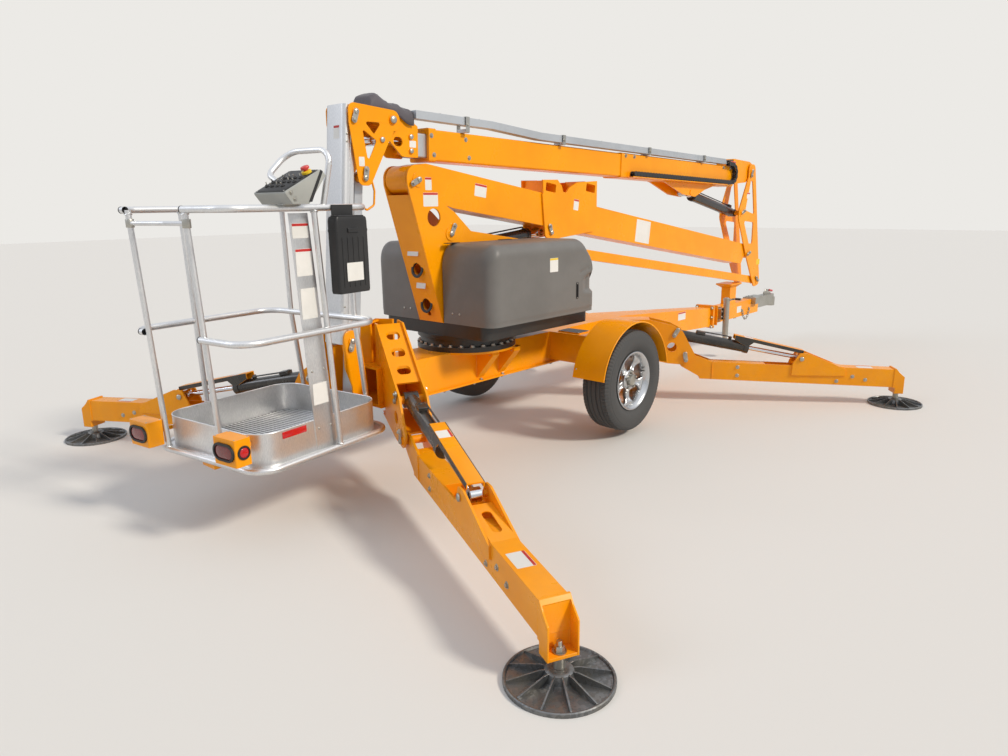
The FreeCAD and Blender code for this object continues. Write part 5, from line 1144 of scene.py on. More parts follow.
@dataclass(frozen=True)
class Outrigger:
    """One outrigger's details, in a place whose X axis runs from its hinge to its foot."""

    name: str
    hinge: tuple
    pad: tuple
    z: float = 0.360
    half: float = 0.058
    fall: float = 0.052
    reach_end: float = 0.086
    stud_in: float = 0.040
    ram_back: float = 0.100
    ram_high: float = 0.203
    rod_reach: float = 0.915
    rod_high: float = 0.016
    slot_x: float = 1.120
    slot_z: float = -0.0250
    slot_tilt: float = 10.8
    port_back: float = 0.190
    port_front: float = 0.455
    guard_out: float = 0.0436
    guard_in: float = 0.0372

    @property
    def reach(self) -> float:
        """Distance from the hinge to the pad."""
        return math.hypot(self.pad[0] - self.hinge[0], self.pad[1] - self.hinge[1])

    @property
    def degrees(self) -> float:
        """Turn of the arm about the upright."""
        return math.degrees(math.atan2(self.pad[1] - self.hinge[1], self.pad[0] - self.hinge[0]))

    def hold(self) -> Stand:
        """The arm's place at its hinge."""
        return turned(AXLE_X + self.hinge[0], self.hinge[1], self.z, self.degrees)

    def ram_place(self) -> Stand:
        """The cylinder's place: X along the rod, from the pin in the bracket."""
        dip = math.atan2(self.ram_high - self.rod_high, self.ram_back + self.rod_reach)
        base = self.hold().at(-self.ram_back, 0, self.ram_high)
        return base.facing((math.sin(dip), 0, math.cos(dip)), (0, 1, 0))

    def build(self) -> None:
        """Makes the bolts, plates, foot and hoses of the outrigger."""
        arm = self.hold()
        leg, barrel = f"leg_{self.name}", f"ram_barrel_{self.name}"
        small = Fittings("outrigger", leg)
        end = self.reach - self.reach_end
        for sign in (1, -1):
            small.zinc(pin_cap(0.024, 0.052, 100), arm.flank(sign, 0, 0.092, 0), body="chassis")
            small.zinc(pin_cap(0.024, 0.052, 60), arm.flank(sign, -self.ram_back, 0.088, self.ram_high),
                body="chassis")
            small.zinc(dome(0.019, 0.010), arm.flank(sign, self.rod_reach, 0.073, self.rod_high))
            for x, z in ((1.32, -0.125), (1.42, -0.150), (1.20, -0.165), (0.42, -0.060), (0.42, -0.130)):
                small.zinc(hex_bolt(0.016, 0.007), arm.flank(sign, x, self.half, z))
        small.plate(self.slope(arm, 1.42), 0.120, 0.080, band=RED_VINYL)
        self.cross_plate(arm, leg)
        self.guard_plate(small, barrel)
        small.zinc(Shape().rod(0.026, 0, 0.004, parts=24).join(hex_bolt(0.034, 0.020, False),
            ROW.at(0, 0, 0.004)).lathe([(0, 0.020), (0.0105, 0.020), (0.0105, 0.040), (0.009, 0.042),
            (0, 0.042)], parts=16), arm.at(self.reach - self.stud_in, 0, -self.z + 0.1125))
        small.pieces()
        small = Fittings("stud", leg)
        small.on(BRIGHT_ZINC).rod(0.0204, 0.052, 0.0985, arm.at(self.reach - self.stud_in, 0, -self.z), 28)
        small.pieces()
        self.open_end(arm, leg, end)
        self.guard()
        self.welds(arm, leg, end)
        self.foot(arm, leg)
        self.hoses(barrel)

    def slope(self, arm: Stand, x: float) -> Stand:
        """A place on the sloping top of the leg tube."""
        run = self.reach - self.reach_end - 0.120
        drop = (self.fall - 0.004) / run
        z = -0.016 - drop * (x - 0.120)
        return arm.at(x, 0, z).facing((drop, 0, 1), (0, 1, 0))

    def cross_plate(self, arm: Stand, leg: str) -> None:
        """The plate with an oblong slot between the ears, over the leg's open top."""
        tilt = math.radians(self.slot_tilt)
        place = arm.at(self.slot_x, 0, self.slot_z).facing((math.sin(tilt), 0, math.cos(tilt)), (0, 1, 0))
        a = turns(64)
        square = np.column_stack([np.cos(a), np.sin(a)])
        square /= np.abs(square).max(1)[:, None]
        outer = square * [0.0565, 0.137]
        inner = np.column_stack([0.022 * np.cos(a), 0.022 * np.sin(a) + np.sign(np.sin(a)) * 0.056])
        # The plate's long side follows the leg
        made = Shape().ring(outer, inner, -0.006, 0.0, Stand(place.origin, tuple(-c for c in place.y),
            place.x, place.z))
        made.piece(f"leg_slot_plate_{self.name}", leg, YELLOW_ENAMEL, edge=0.0012)

    def guard_plate(self, small: Fittings, barrel: str) -> None:
        """A blank plate on the guard over the cylinder's rod."""
        lean = self.ram_place()
        small.plate(lean.at(0.600, 0, 0.0838).facing((0.0397, 0, 1), (0, 1, 0)), 0.070, 0.075,
            band=RED_VINYL, body=barrel)
        small.put(BARREL_ENAMEL, Shape().lathe([(0, 0), (0.013, 0), (0.013, 0.022), (0.009, 0.026),
            (0, 0.026)], parts=18), *[lean.at(x, 0, 0.040) for x in (self.port_back, self.port_front)],
            body=barrel)

    def open_end(self, arm: Stand, leg: str, end: float) -> None:
        """The leg with its end as an open channel: two cheeks and a floor."""
        floor = -self.z + 0.100
        top = -0.012 - self.fall
        hollow = Shape()
        side = rounded([(end + 0.021, floor - 0.004, 0), (end + 0.100, floor - 0.004, 0),
            (end + 0.100, top - 0.050, 0), (end + 0.040, top - 0.012, 0.012),
            (end + 0.021, top - 0.006, 0.006)], 20)
        hollow.sweep(side, -0.0545, 0.0545, arm)
        carve(leg, hollow, f"leg_body_{self.name}", leg, YELLOW_ENAMEL)
        plate = Shape().slab(box_outline(0.062, 0.112, 0.004), floor, floor + 0.012,
            arm.at(end + 0.046, 0, 0), 0.001)
        plate.piece(f"leg_floor_{self.name}", leg, YELLOW_ENAMEL)

    def guard(self) -> None:
        """The folded cover over the cylinder's rod: a channel whose depth changes along it."""
        x = np.array([0.4852, 0.486, 0.560, 0.606, 0.640, 0.760, 0.900, 1.0408])
        crown = 0.0888 - 0.0397 * (x - 0.486)
        skirt = np.interp(x, [0.486, 0.560, 0.606, 0.640, 1.040], [0.052, 0.020, 0.020, 0.056,
            0.040]) - 0.0008
        out, inside = self.guard_out, self.guard_in
        rows = []
        for xi, top, low in zip(x, crown, skirt):
            rows.append([(xi, -out, low), (xi, -out, top - 0.006), (xi, -out + 0.0018, top - 0.0018),
                (xi, -out + 0.006, top), (xi, out - 0.006, top), (xi, out - 0.0018, top - 0.0018),
                (xi, out, top - 0.006), (xi, out, low), (xi, inside, low), (xi, inside, top - 0.0076),
                (xi, -inside, top - 0.0076), (xi, -inside, low)])
        made = Shape().grid(self.ram_place()(np.array(rows)), close_v=True, cap=True)
        made.piece(f"ram_guard_{self.name}", f"ram_barrel_{self.name}", YELLOW_ENAMEL, smooth=50)

    def welds(self, arm: Stand, leg: str, end: float) -> None:
        """Weld beads round the end plate and along the ears."""
        made = Shape()
        y = self.half + 0.001
        low, high = -0.012 - self.fall - 0.145, -0.012 - self.fall
        around = [(end - 0.001, -y, low), (end - 0.001, -y, high), (end - 0.001, y, high),
            (end - 0.001, y, low)]
        made.weld(around, seed=11, place=arm)
        for sign in (1, -1):
            made.weld([(0.843, sign * y, -0.119), (1.258, sign * y, -0.121)], seed=12, place=arm)
            made.weld([(0.843, sign * y, -0.119), (0.849, sign * y, -0.030)], seed=13, place=arm)
            made.weld([(0.218, sign * y, -0.020), (0.218, sign * y, -0.155)], seed=14, place=arm)
        made.piece(f"leg_welds_{self.name}", leg, YELLOW_ENAMEL)

    def foot(self, arm: Stand, leg: str) -> None:
        """The pressed steel pad: a thin dish, a cup for the stud and twelve sloping fins."""
        centre = arm.at(self.reach - self.stud_in, 0, -self.z)
        made = Shape()
        made.lathe([(0.0, 0.0), (0.1995, 0.0), (0.2000, 0.003), (0.1995, 0.0145), (0.1955, 0.0175),
            (0.1905, 0.0165), (0.1865, 0.0085), (0.120, 0.0080), (0.075, 0.0085), (0.060, 0.014),
            (0.052, 0.0440), (0.044, 0.0495), (0.033, 0.0509), (0.0, 0.0509)], centre, 72)
        outline = rounded([(0.048, 0.007, 0), (0.188, 0.007, 0), (0.188, 0.016, 0.003),
            (0.070, 0.046, 0.006), (0.048, 0.046, 0)], 30)
        for k in range(12):
            upright = turned(0, 0, 0, 15 + 30 * k).facing((0, -1, 0))
            made.slab(outline, -0.003, 0.003, lambda q, w=upright: centre(w(q)), 0.0006)
        made.piece(f"foot_casting_{self.name}", leg, HOT_DIP_ZINC, replaces=[f"foot_{self.name}"])

    def hoses(self, barrel: str) -> None:
        """A steel pipe on the barrel between the valve block and the rod end port."""
        lean = self.ram_place()
        made = Shape()
        back, front = self.port_back, self.port_front
        path = rounded([(back, 0.018, 0.040, 0), (back, 0.030, 0.058, 0.016), (front, 0.030, 0.058, 0.016),
            (front, 0.012, 0.044, 0)], 20, closed=False)
        made.tube(path, 0.005, 10, place=lean)
        made.slab(box_outline(0.070, 0.052, 0.004), 0.038, 0.062, lean.at(0.215, 0, 0), 0.002)
        made.piece(f"ram_pipe_{self.name}", barrel, BARREL_ENAMEL)


# Turret and booms

LOWER = leaning(AXLE_X - 1.286, 1.768, 8.2408)
UPPER = leaning(AXLE_X + 3.434, 1.930, 1.467)
LINK = Stand((AXLE_X + 3.492, 0.0, 1.076))
KNUCKLE = Stand((AXLE_X - 1.4574, 0.0, 2.0933))
JIB = leaning(AXLE_X - 1.714, 2.118, 5.26)
BRACKET = Stand((AXLE_X - 1.8291, 0.0, 0.8683))
BASKET = turned(AXLE_X - 2.287, 0.0, 0.398, 8.0)


@dataclass(frozen=True)
class Turret:
    """The tower's fittings and the moulded hoods on the turning deck."""

    half: float = 0.110
    hood_rear: float = 1.120
    hood_front: float = 0.030
    hood_inner: float = 0.120
    hood_outer: float = 0.540
    deck: float = 0.885
    top: float = 1.385
    shoulder: float = 1.220
    round: float = 0.080

    def build(self) -> None:
        """Makes the pieces of the turret."""
        small = Fittings("turret")
        for sign in (1, -1):
            for x, z, y, angle in ((-1.286, 1.768, 0.120, 205), (-0.950, 1.320, 0.118, 240),
                    (-1.028, 1.442, 0.118, 60)):
                small.zinc(pin_cap(0.024, 0.055, angle), MACHINE.flank(sign, x, y, z))
            for x, z in ((-0.700, 0.930), (-0.900, 0.930), (-1.060, 0.930)):
                small.zinc(hex_bolt(0.018, 0.008), MACHINE.flank(sign, x, self.half, z))
        back = [MACHINE.at(*self.spine(z), z).facing((-1, 0, 0.17)) for z in (1.135, 1.335, 0.955, 1.085)]
        small.plate(back[0], 0.085, 0.060)
        small.plate(back[1], 0.100, 0.045)
        small.plate(MACHINE.flank(-1, -1.205, self.half, 1.745), 0.052, 0.075, band=RED_VINYL)
        small.plate(MACHINE.flank(-1, -1.190, self.half, 1.652), 0.120, 0.082, band=RED_VINYL)
        for z, r in ((1.228, 0.040), (0.998, 0.040)):
            spot = MACHINE.at(*self.spine(z), z).facing((-1, 0, 0.17))
            small.on(HOSE_RUBBER).lathe([(r - 0.003, -0.004), (r - 0.003, 0.003), (r + 0.002, 0.005),
                (r + 0.014, 0.004), (r + 0.015, 0.0), (r - 0.001, 0.0)], spot, 48, closed=True)
        small.zinc(dome(0.007, 0.004), *[MACHINE.at(-self.hood_rear - 0.0005, sign * y,
            0.952).facing((-1, 0, 0)) for sign in (1, -1) for y in (0.200, 0.262)])
        self.latches(small)
        small.pieces()
        for side, sign in SIDES:
            self.hood(side, sign)
        self.hoses()
        self.seams()

    def spine(self, z: float) -> tuple:
        """Where the tower's rear face lies at a height, as x and y."""
        share = (z - self.deck) / (1.740 - self.deck)
        return -1.122 - 0.250 * share - 0.0005, 0.0

    def top_line(self, x: Array) -> Array:
        """Height of a hood over its length: a flat top, a sloping front and round corners."""
        line = rounded([(-self.hood_rear, self.deck, 0), (-self.hood_rear, self.top, 0.092),
            (-self.hood_front - 0.150, self.top, 0.090), (-self.hood_front, self.shoulder, 0.090),
            (-self.hood_front, self.deck, 0)], 6, closed=False)
        line = line[1:-1]
        return np.interp(x, line[:, 0] + np.arange(len(line)) * 1e-9, line[:, 1])

    def hood(self, side: str, sign: int) -> None:
        """Makes one moulded hood as sections along the machine.

        Each section is a rectangle from the deck up, with a round outer shoulder. Near the
        ends the outer face draws in by a quarter circle. An air scoop is pressed into the front
        of the side with eased edges, a groove runs over it, and a step runs round the lower edge.
        """
        r = self.round
        quarter = np.linspace(0, math.pi / 2, 12)
        rear = -self.hood_rear + r * (1 - np.cos(quarter))
        front = -self.hood_front - r * (1 - np.cos(quarter[::-1]))
        x = np.concatenate([rear, np.linspace(rear[-1], front[0], 90)[1:-1], front])
        draw = np.zeros_like(x)
        draw[:12] = r * (1 - np.sin(quarter))
        draw[-12:] = r * (1 - np.sin(quarter[::-1]))
        outer = self.hood_outer - draw
        z_top = self.top_line(x) - draw * 0.55
        t = np.linspace(0, 1, 40)
        rows = []
        for xi, yo, zt in zip(x, outer, z_top):
            a = np.linspace(0, math.pi / 2, 12)
            up = self.deck + 0.001 + (zt - r - self.deck) * t
            face = np.column_stack([np.full(40, yo), up])
            arc = np.column_stack([yo - r + r * np.cos(a[1:]), zt - r + r * np.sin(a[1:])])
            across = np.column_stack([np.linspace(yo - r, self.hood_inner + 0.012, 12)[1:],
                np.full(11, zt)])
            fall = np.array([[self.hood_inner + 0.0035, zt - 0.0035], [self.hood_inner, zt - 0.012],
                [self.hood_inner, self.deck + 0.001]])
            rows.append(np.concatenate([face, arc, across, fall]))
        section = np.array(rows)
        grid = np.stack([np.broadcast_to(x[:, None], section.shape[:2]), section[..., 0], section[..., 1]],
            -1)
        gx, gz = grid[..., 0], grid[..., 2]
        onface = np.arange(section.shape[1])[None, :] < 40
        scoop = (ease(gx, -0.215, -0.120) * ease(gz, 1.010, 1.040) * (1
            - ease(gz - 0.35 * (gx + 0.12), 1.120, 1.150)))
        groove = ease(gx, -0.235, -0.225) * (1 - ease(np.abs(gz - 1.185 - 0.25 * (gx + 0.12)), 0.004,
            0.012))
        lip = 1 - ease(gz, 0.912, 0.918)
        grid[..., 1] -= np.where(onface, 0.026 * scoop + 0.006 * groove + 0.003 * lip, 0)
        grid[..., 1] *= sign
        made = Shape().grid(MACHINE(grid), close_v=True, cap=True)
        made.piece(f"hood_shell_{side}", "chassis", GREY_POLYETHYLENE, smooth=50, replaces=["hoods"])

    def latches(self, small: Fittings) -> None:
        """An upright latch, a blank plate and two hinges on each hood."""
        for sign in (1, -1):
            side = MACHINE.flank(sign, -0.262, self.hood_outer + 0.0002, 1.040)
            upright = Stand(side.origin, side.y, tuple(-c for c in side.x), side.z)
            small.on(BLACK_ABS).slab(box_outline(0.112, 0.026, 0.006), -0.001, 0.0014, upright, 0.0006)
            small.on(BLACK_ABS).slab(box_outline(0.088, 0.012, 0.004), 0.0014, 0.0090, upright, 0.0020)
            small.zinc(dome(0.004, 0.0022, 12), upright.at(0.048, 0, 0.0014), upright.at(-0.048, 0, 0.0014))
            small.plate(MACHINE.flank(sign, -0.520, self.hood_outer + 0.0002, 1.230), 0.085, 0.090,
                band=YELLOW_VINYL)
            for x in (-1.060, -0.560):
                hinge = MACHINE.at(x, sign * 0.150, self.top - 0.0005)
                small.on(BLACK_ABS).slab(box_outline(0.110, 0.040, 0.006), 0.0, 0.004, hinge, 0.001)

    def hoses(self) -> None:
        """Hydraulic hoses that leave the tower's side hole and go down behind the hoods' inner sides."""
        made = Shape()
        for k, (y, dx) in enumerate(((-0.060, 0.0), (-0.035, 0.022), (0.010, 0.010), (0.045, -0.012))):
            path = rounded([(-0.700 + dx, y, 0.898, 0), (-0.715 + dx, y, 1.060, 0.10),
                (-0.800 + dx, y * 0.8, 1.190, 0.08), (-0.905 + dx, y * 0.6, 1.215 + 0.012 * k, 0)], 8,
                closed=False)
            made.tube(path, 0.0085, 12, place=MACHINE, hint=(0, 1, 0))
        made.piece("tower_hoses", "chassis", HOSE_RUBBER)

    def seams(self) -> None:
        """Weld beads of the tower's side plates on its back and on the deck."""
        made = Shape()
        for sign in (1, -1):
            y = sign * (self.half - 0.001)
            made.weld([(-1.120, y, 0.890), (-1.338, y, 1.640)], 0.0028, 21, MACHINE)
            made.weld([(-1.119, sign * (self.half + 0.002), 0.886), (-0.643, sign * (self.half + 0.002),
                0.886)], 0.004, 22, MACHINE)
        made.piece("tower_welds", "chassis", YELLOW_ENAMEL)


@dataclass(frozen=True)
class Booms:
    """Pins, chain, tray and plates of the two booms and of the link between them."""

    lower_half: float = 0.092
    sleeve_half: float = 0.090
    pitch: float = 0.046

    def build(self) -> None:
        """Makes the booms' pieces."""
        small = Fittings("boom", "upper_boom")
        for sign in (1, -1):
            for x, z, angle in ((0.0, 0.0, 200), (-0.058, 0.854, 250), (-0.252, 0.424, 20),
                    (0.258, -0.326, 140)):
                small.zinc(pin_cap(0.024, 0.055, angle), LINK.flank(sign, x, 0.118, z), body="link")
            small.zinc(pin_cap(0.024, 0.050, 120), LOWER.flank(sign, 1.324, 0.110, -0.168),
                body="lower_boom")
            for z in (-0.040, -0.120):
                small.zinc(dome(0.015, 0.008), UPPER.flank(sign, -4.738, 0.086, z), body="inner_boom")
            small.zinc(dome(0.022, 0.012), UPPER.flank(sign, -4.894, 0.114, 0.038), body="inner_boom")
            small.zinc(pin_cap(0.022, 0.046, 250), KNUCKLE.flank(sign, -0.2566, 0.110, 0.0247),
                body="knuckle")
            small.zinc(pin_cap(0.022, 0.046, 80), KNUCKLE.flank(sign, -0.2156, 0.110, -0.3223),
                body="knuckle")
            small.zinc(dome(0.016, 0.009), KNUCKLE.flank(sign, -0.081, 0.108, -0.112), body="knuckle")
            for x in (-0.480, -0.640, -2.430, -2.300):
                small.zinc(hex_bolt(0.017, 0.008), UPPER.flank(sign, x, self.sleeve_half, 0.0))
            for x in (-4.580, -4.560, -4.280, -4.250):
                z = -0.020 if x in (-4.580, -4.280) else -0.130
                small.zinc(hex_bolt(0.016, 0.007), UPPER.flank(sign, x, 0.088 if x < -4.5 else 0.082, z))
        hollow = Shape()
        for x, z in ((1.277, 0.149), (1.768, 0.219)):
            opening = box_outline(0.116, 0.058, 0.006, 30)
            hollow.slab(opening, -0.130, 0.130, LOWER.at(x, 0, z).facing((0, -1, 0), (0, 0, 1)))
        notch = np.array([(1.362, 0.260), (1.425, 0.141), (1.468, 0.141), (1.556, 0.260)])
        hollow.sweep(notch, -0.130, 0.130, LOWER)
        carve("lower_boom", hollow, "lower_boom_body", "lower_boom", YELLOW_ENAMEL)
        small.plate(LOWER.flank(-1, 1.600, 0.105, 0.070), 0.062, 0.080, band=RED_VINYL, body="lower_boom")
        small.plate(LOWER.flank(-1, 2.620, self.lower_half, -0.020), 0.230, 0.190, body="lower_boom")
        small.plate(LOWER.flank(-1, 0.560, self.lower_half, 0.020), 0.110, 0.080, band=RED_VINYL,
            body="lower_boom")
        small.plate(LOWER.at(2.620, self.lower_half, -0.020).facing((0, 1, 0)), 0.230, 0.190,
            body="lower_boom")
        small.plate(LINK.flank(-1, -0.110, 0.110, 0.600), 0.075, 0.060, band=RED_VINYL, body="link")
        small.plate(LINK.flank(-1, 0.250, 0.110, -0.120), 0.090, 0.060, YELLOW_VINYL, body="link")
        small.plate(UPPER.flank(-1, -0.420, self.sleeve_half, 0.050), 0.110, 0.050, band=RED_VINYL)
        small.plate(KNUCKLE.flank(-1, -0.232, 0.104, -0.235), 0.038, 0.050, body="knuckle")
        small.plate(UPPER.flank(-1, -4.722, 0.078, -0.080), 0.050, 0.038, body="inner_boom")
        small.pieces()
        self.chain()
        self.tray()
        self.hooks()
        self.hoses()
        self.seams()

    def chain(self) -> None:
        """The cable carrier: one link repeated along its path, in a guide channel.

        Each link is two oblong cheeks and two cross bars. The path is straight, then turns up
        and back in one round loop.
        """
        path = flowing([(-2.360, -0.138), (-1.5, -0.138), (-0.600, -0.138), (-0.490, -0.134),
            (-0.436, -0.105), (-0.421, -0.055), (-0.434, -0.005), (-0.480, 0.030), (-0.545, 0.039),
            (-0.604, 0.040)], 24)
        link = Shape()
        cheek = oblong(0.054, 0.040)
        for y in (-0.0205, 0.0175):
            upright = Stand((0.0, y, 0.0)).facing((0, 1, 0), (0, 0, 1))
            link.slab(cheek, 0.0, 0.003, upright, 0.0008)
            inner = Stand((0.013, y + (0.0028 if y < 0 else -0.0028), 0.0)).facing((0, 1, 0), (0, 0, 1))
            link.slab(oblong(0.030, 0.034), 0.0, 0.003, inner, 0.0006)
        for z in (-0.0175, 0.0150):
            link.slab(box_outline(0.016, 0.044, 0.003), z, z + 0.0025, ROW.at(-0.004, 0, 0), 0.0006)
        shape = Shape()
        for here, ahead in strides(path, self.pitch, 0.006):
            at = Stand((here[0], -0.119, here[1]), (ahead[0], 0, ahead[1]), (0, 1, 0),
                (-ahead[1], 0, ahead[0]))
            shape.join(link, lambda q, w=at: UPPER(w(q)))
        shape.piece("chain_links", "upper_boom", BLACK_ABS, replaces=["energy_chain"])
        inside = Shape()
        for y, dz in ((-0.128, 0.002), (-0.119, -0.004), (-0.110, 0.003)):
            inside.tube(lifted(path + [0, dz], y, 1), 0.0042, 8, place=UPPER, hint=(0, 1, 0))
        inside.piece("chain_hoses", "upper_boom", HOSE_RUBBER)
        guide = Shape()
        profile = np.array([(-0.0925, -0.124), (-0.0925, -0.1655), (-0.1475, -0.1655), (-0.1475, -0.1610),
            (-0.150, -0.1610), (-0.150, -0.168), (-0.0902, -0.168), (-0.0902, -0.124)])
        guide.sweep(profile, -2.400, -0.640, UPPER, 0)
        guide.piece("chain_guide", "upper_boom", YELLOW_ENAMEL, edge=0.0008)

    def tray(self) -> None:
        """Clips with bolts, and lip and rivets along the cable tray."""
        made = Fittings("tray", "upper_boom")
        lid = [(x, -0.079, self.tray_top(x) + 0.0005) for x in (-4.52, -4.18, -3.40, -2.80, -2.20, -1.60,
            -1.00)]
        for x, y, z in lid:
            for dy in (-0.024, 0.024):
                made.zinc(dome(0.005, 0.003, 12), UPPER.at(x, y + dy, z))
        for x in (-4.300, -3.300, -2.100, -1.100):
            z = self.tray_top(x)
            low = 0.018 if x < -2.5 else 0.023
            strap = np.array([(-0.1195, low + 0.002), (-0.1195, z + 0.0015), (-0.0385, z + 0.0015),
                (-0.0385, low + 0.002), (-0.0365, low + 0.002), (-0.0365, z + 0.0035),
                (-0.1215, z + 0.0035), (-0.1215, low + 0.002)])
            made.on(BRIGHT_ZINC).sweep(strap, x - 0.016, x + 0.016, UPPER, 0)
            made.zinc(hex_bolt(0.012, 0.005), UPPER.at(x, -0.1215, (low + z) / 2).facing((0, -1, 0)))
        made.pieces()

    def tray_top(self, x: float) -> float:
        """Height of the cable tray's lid along the boom."""
        return float(np.interp(x, [-4.72, -4.06, -3.56, -0.64], [0.110, 0.110, 0.084, 0.084]))

    def hooks(self) -> None:
        """The knuckle's two trussed plates on their pins, and the bent guard loop under them."""
        outline = rounded([(0.054, 0.050, 0.050), (-0.302, 0.074, 0.038), (-0.304, -0.030, 0.040),
            (-0.256, -0.364, 0.038), (-0.176, -0.364, 0.038), (-0.036, -0.128, 0.018),
            (0.010, -0.062, 0.030), (0.054, -0.050, 0.050)], 10)
        holes = [rounded([(-0.198, -0.022, 0.008), (-0.082, -0.022, 0.010), (-0.136, -0.086, 0.008)], 20),
            rounded([(-0.216, -0.062, 0.008), (-0.120, -0.120, 0.010), (-0.186, -0.236, 0.010)], 20)]
        a = turns(32)
        holes.append(0.0228 * np.column_stack([np.cos(a), np.sin(a)]))
        plates = Shape()
        upright = KNUCKLE.facing((0, -1, 0), (0, 0, 1))
        for y in (-0.104, 0.098):
            plates.cut_plate(outline, holes, -y - 0.006, -y, upright)
        for x, z in ((-0.2566, 0.0247), (-0.2156, -0.3223)):
            for sign in (1, -1):
                plates.rod(0.030, 0.080, 0.0985, KNUCKLE.flank(sign, x, 0, z))
            plates.rod(0.0215, -0.1095, 0.1095, KNUCKLE.flank(1, x, 0, z))
        for sign in (1, -1):
            plates.rod(0.018, 0.097, 0.1075, KNUCKLE.flank(sign, -0.081, 0, -0.112), 24)
        plates.piece("knuckle_plates", "knuckle", YELLOW_ENAMEL, edge=0.0012, replaces=["knuckle"])
        made = Shape()
        loop = rounded([(-0.170, -0.098, -0.318, 0), (-0.150, -0.098, -0.392, 0.016),
            (-0.158, -0.098, -0.470, 0.020), (-0.215, -0.098, -0.500, 0.014), (-0.222, -0.098, -0.488, 0)],
            20, closed=False)
        made.tube(loop, 0.006, 12, place=KNUCKLE, hint=(0, 1, 0))
        made.piece("knuckle_loop", "knuckle", YELLOW_ENAMEL)

    def hoses(self) -> None:
        """Short hoses fixed at both ends to the same part, and pipes on the lift cylinders."""
        upper = Shape()
        for y, lift in ((-0.066, 0.0), (-0.086, 0.006)):
            path = flowing([(-0.625, y, 0.058), (-0.560, y, 0.066 + lift),
                (-0.470, y + 0.004, 0.072 + lift), (-0.395, y * 0.9, 0.088), (-0.330, y * 0.8, 0.0985)], 8)
            upper.tube(path, 0.0065, 12, place=UPPER, hint=(0, 1, 0))
        upper.piece("upper_boom_hoses", "upper_boom", HOSE_RUBBER)
        lift = Shape()
        base = leaning(AXLE_X - 0.950, 1.320, -math.degrees(math.atan2(0.092, 0.950)))
        pipe = rounded([(0.130, 0.024, 0.044, 0), (0.130, 0.024, 0.060, 0.012),
            (0.790, 0.024, 0.060, 0.012), (0.790, 0.024, 0.046, 0)], 20, closed=False)
        lift.tube(pipe, 0.0055, 10, place=base, hint=(0, 1, 0))
        lift.slab(box_outline(0.070, 0.050, 0.005), 0.040, 0.066, base.at(0.110, 0.024, 0), 0.002)
        lift.piece("lower_lift_pipe", "lower_lift_barrel", BARREL_ENAMEL)
        other = Shape()
        base = leaning(AXLE_X + 3.240, 1.500, -math.degrees(math.atan2(0.208, -1.082)))
        pipe = pipe * [1, 0, 1]
        pipe[:, 0] = 0.130 + (pipe[:, 0] - 0.130) * 1.13
        other.tube(pipe * [1, 1, -1], 0.0055, 10, place=base, hint=(0, 1, 0))
        other.slab(box_outline(0.070, 0.050, 0.005), -0.066, -0.040, base.at(0.110, 0, 0), 0.002)
        other.piece("upper_lift_pipe", "upper_lift_barrel", BARREL_ENAMEL)

    def seams(self) -> None:
        """Weld beads on the booms' side plates and the sleeve."""
        lower = Shape()
        for sign in (1, -1):
            y = sign * 0.0935
            lower.weld([(1.186, y, 0.094), (1.262, y, -0.100)], 0.003, 31, LOWER)
            lower.weld([(1.204, y, 0.092), (1.182, y, 0.180)], 0.003, 32, LOWER)
            lower.weld([(1.889, y, 0.090), (1.862, y, -0.098)], 0.003, 33, LOWER)
        lower.piece("lower_boom_welds", "lower_boom", YELLOW_ENAMEL)
        upper = Shape()
        for sign in (1, -1):
            y = sign * 0.0825
            upper.weld([(-2.4915, y, 0.010), (-2.4915, y, -0.160)], 0.003, 34, UPPER)
            upper.weld([(-4.541, y, 0.010), (-4.541, y, -0.160)], 0.003, 35, UPPER)
            y = sign * 0.0905
            upper.weld([(-0.421, y, 0.090), (-0.421, y, 0.024)], 0.003, 36, UPPER)
            upper.weld([(-1.780, sign * 0.083, -0.1745), (-0.760, sign * 0.083, -0.1745)], 0.003, 37, UPPER)
        upper.piece("upper_boom_welds", "upper_boom", YELLOW_ENAMEL)


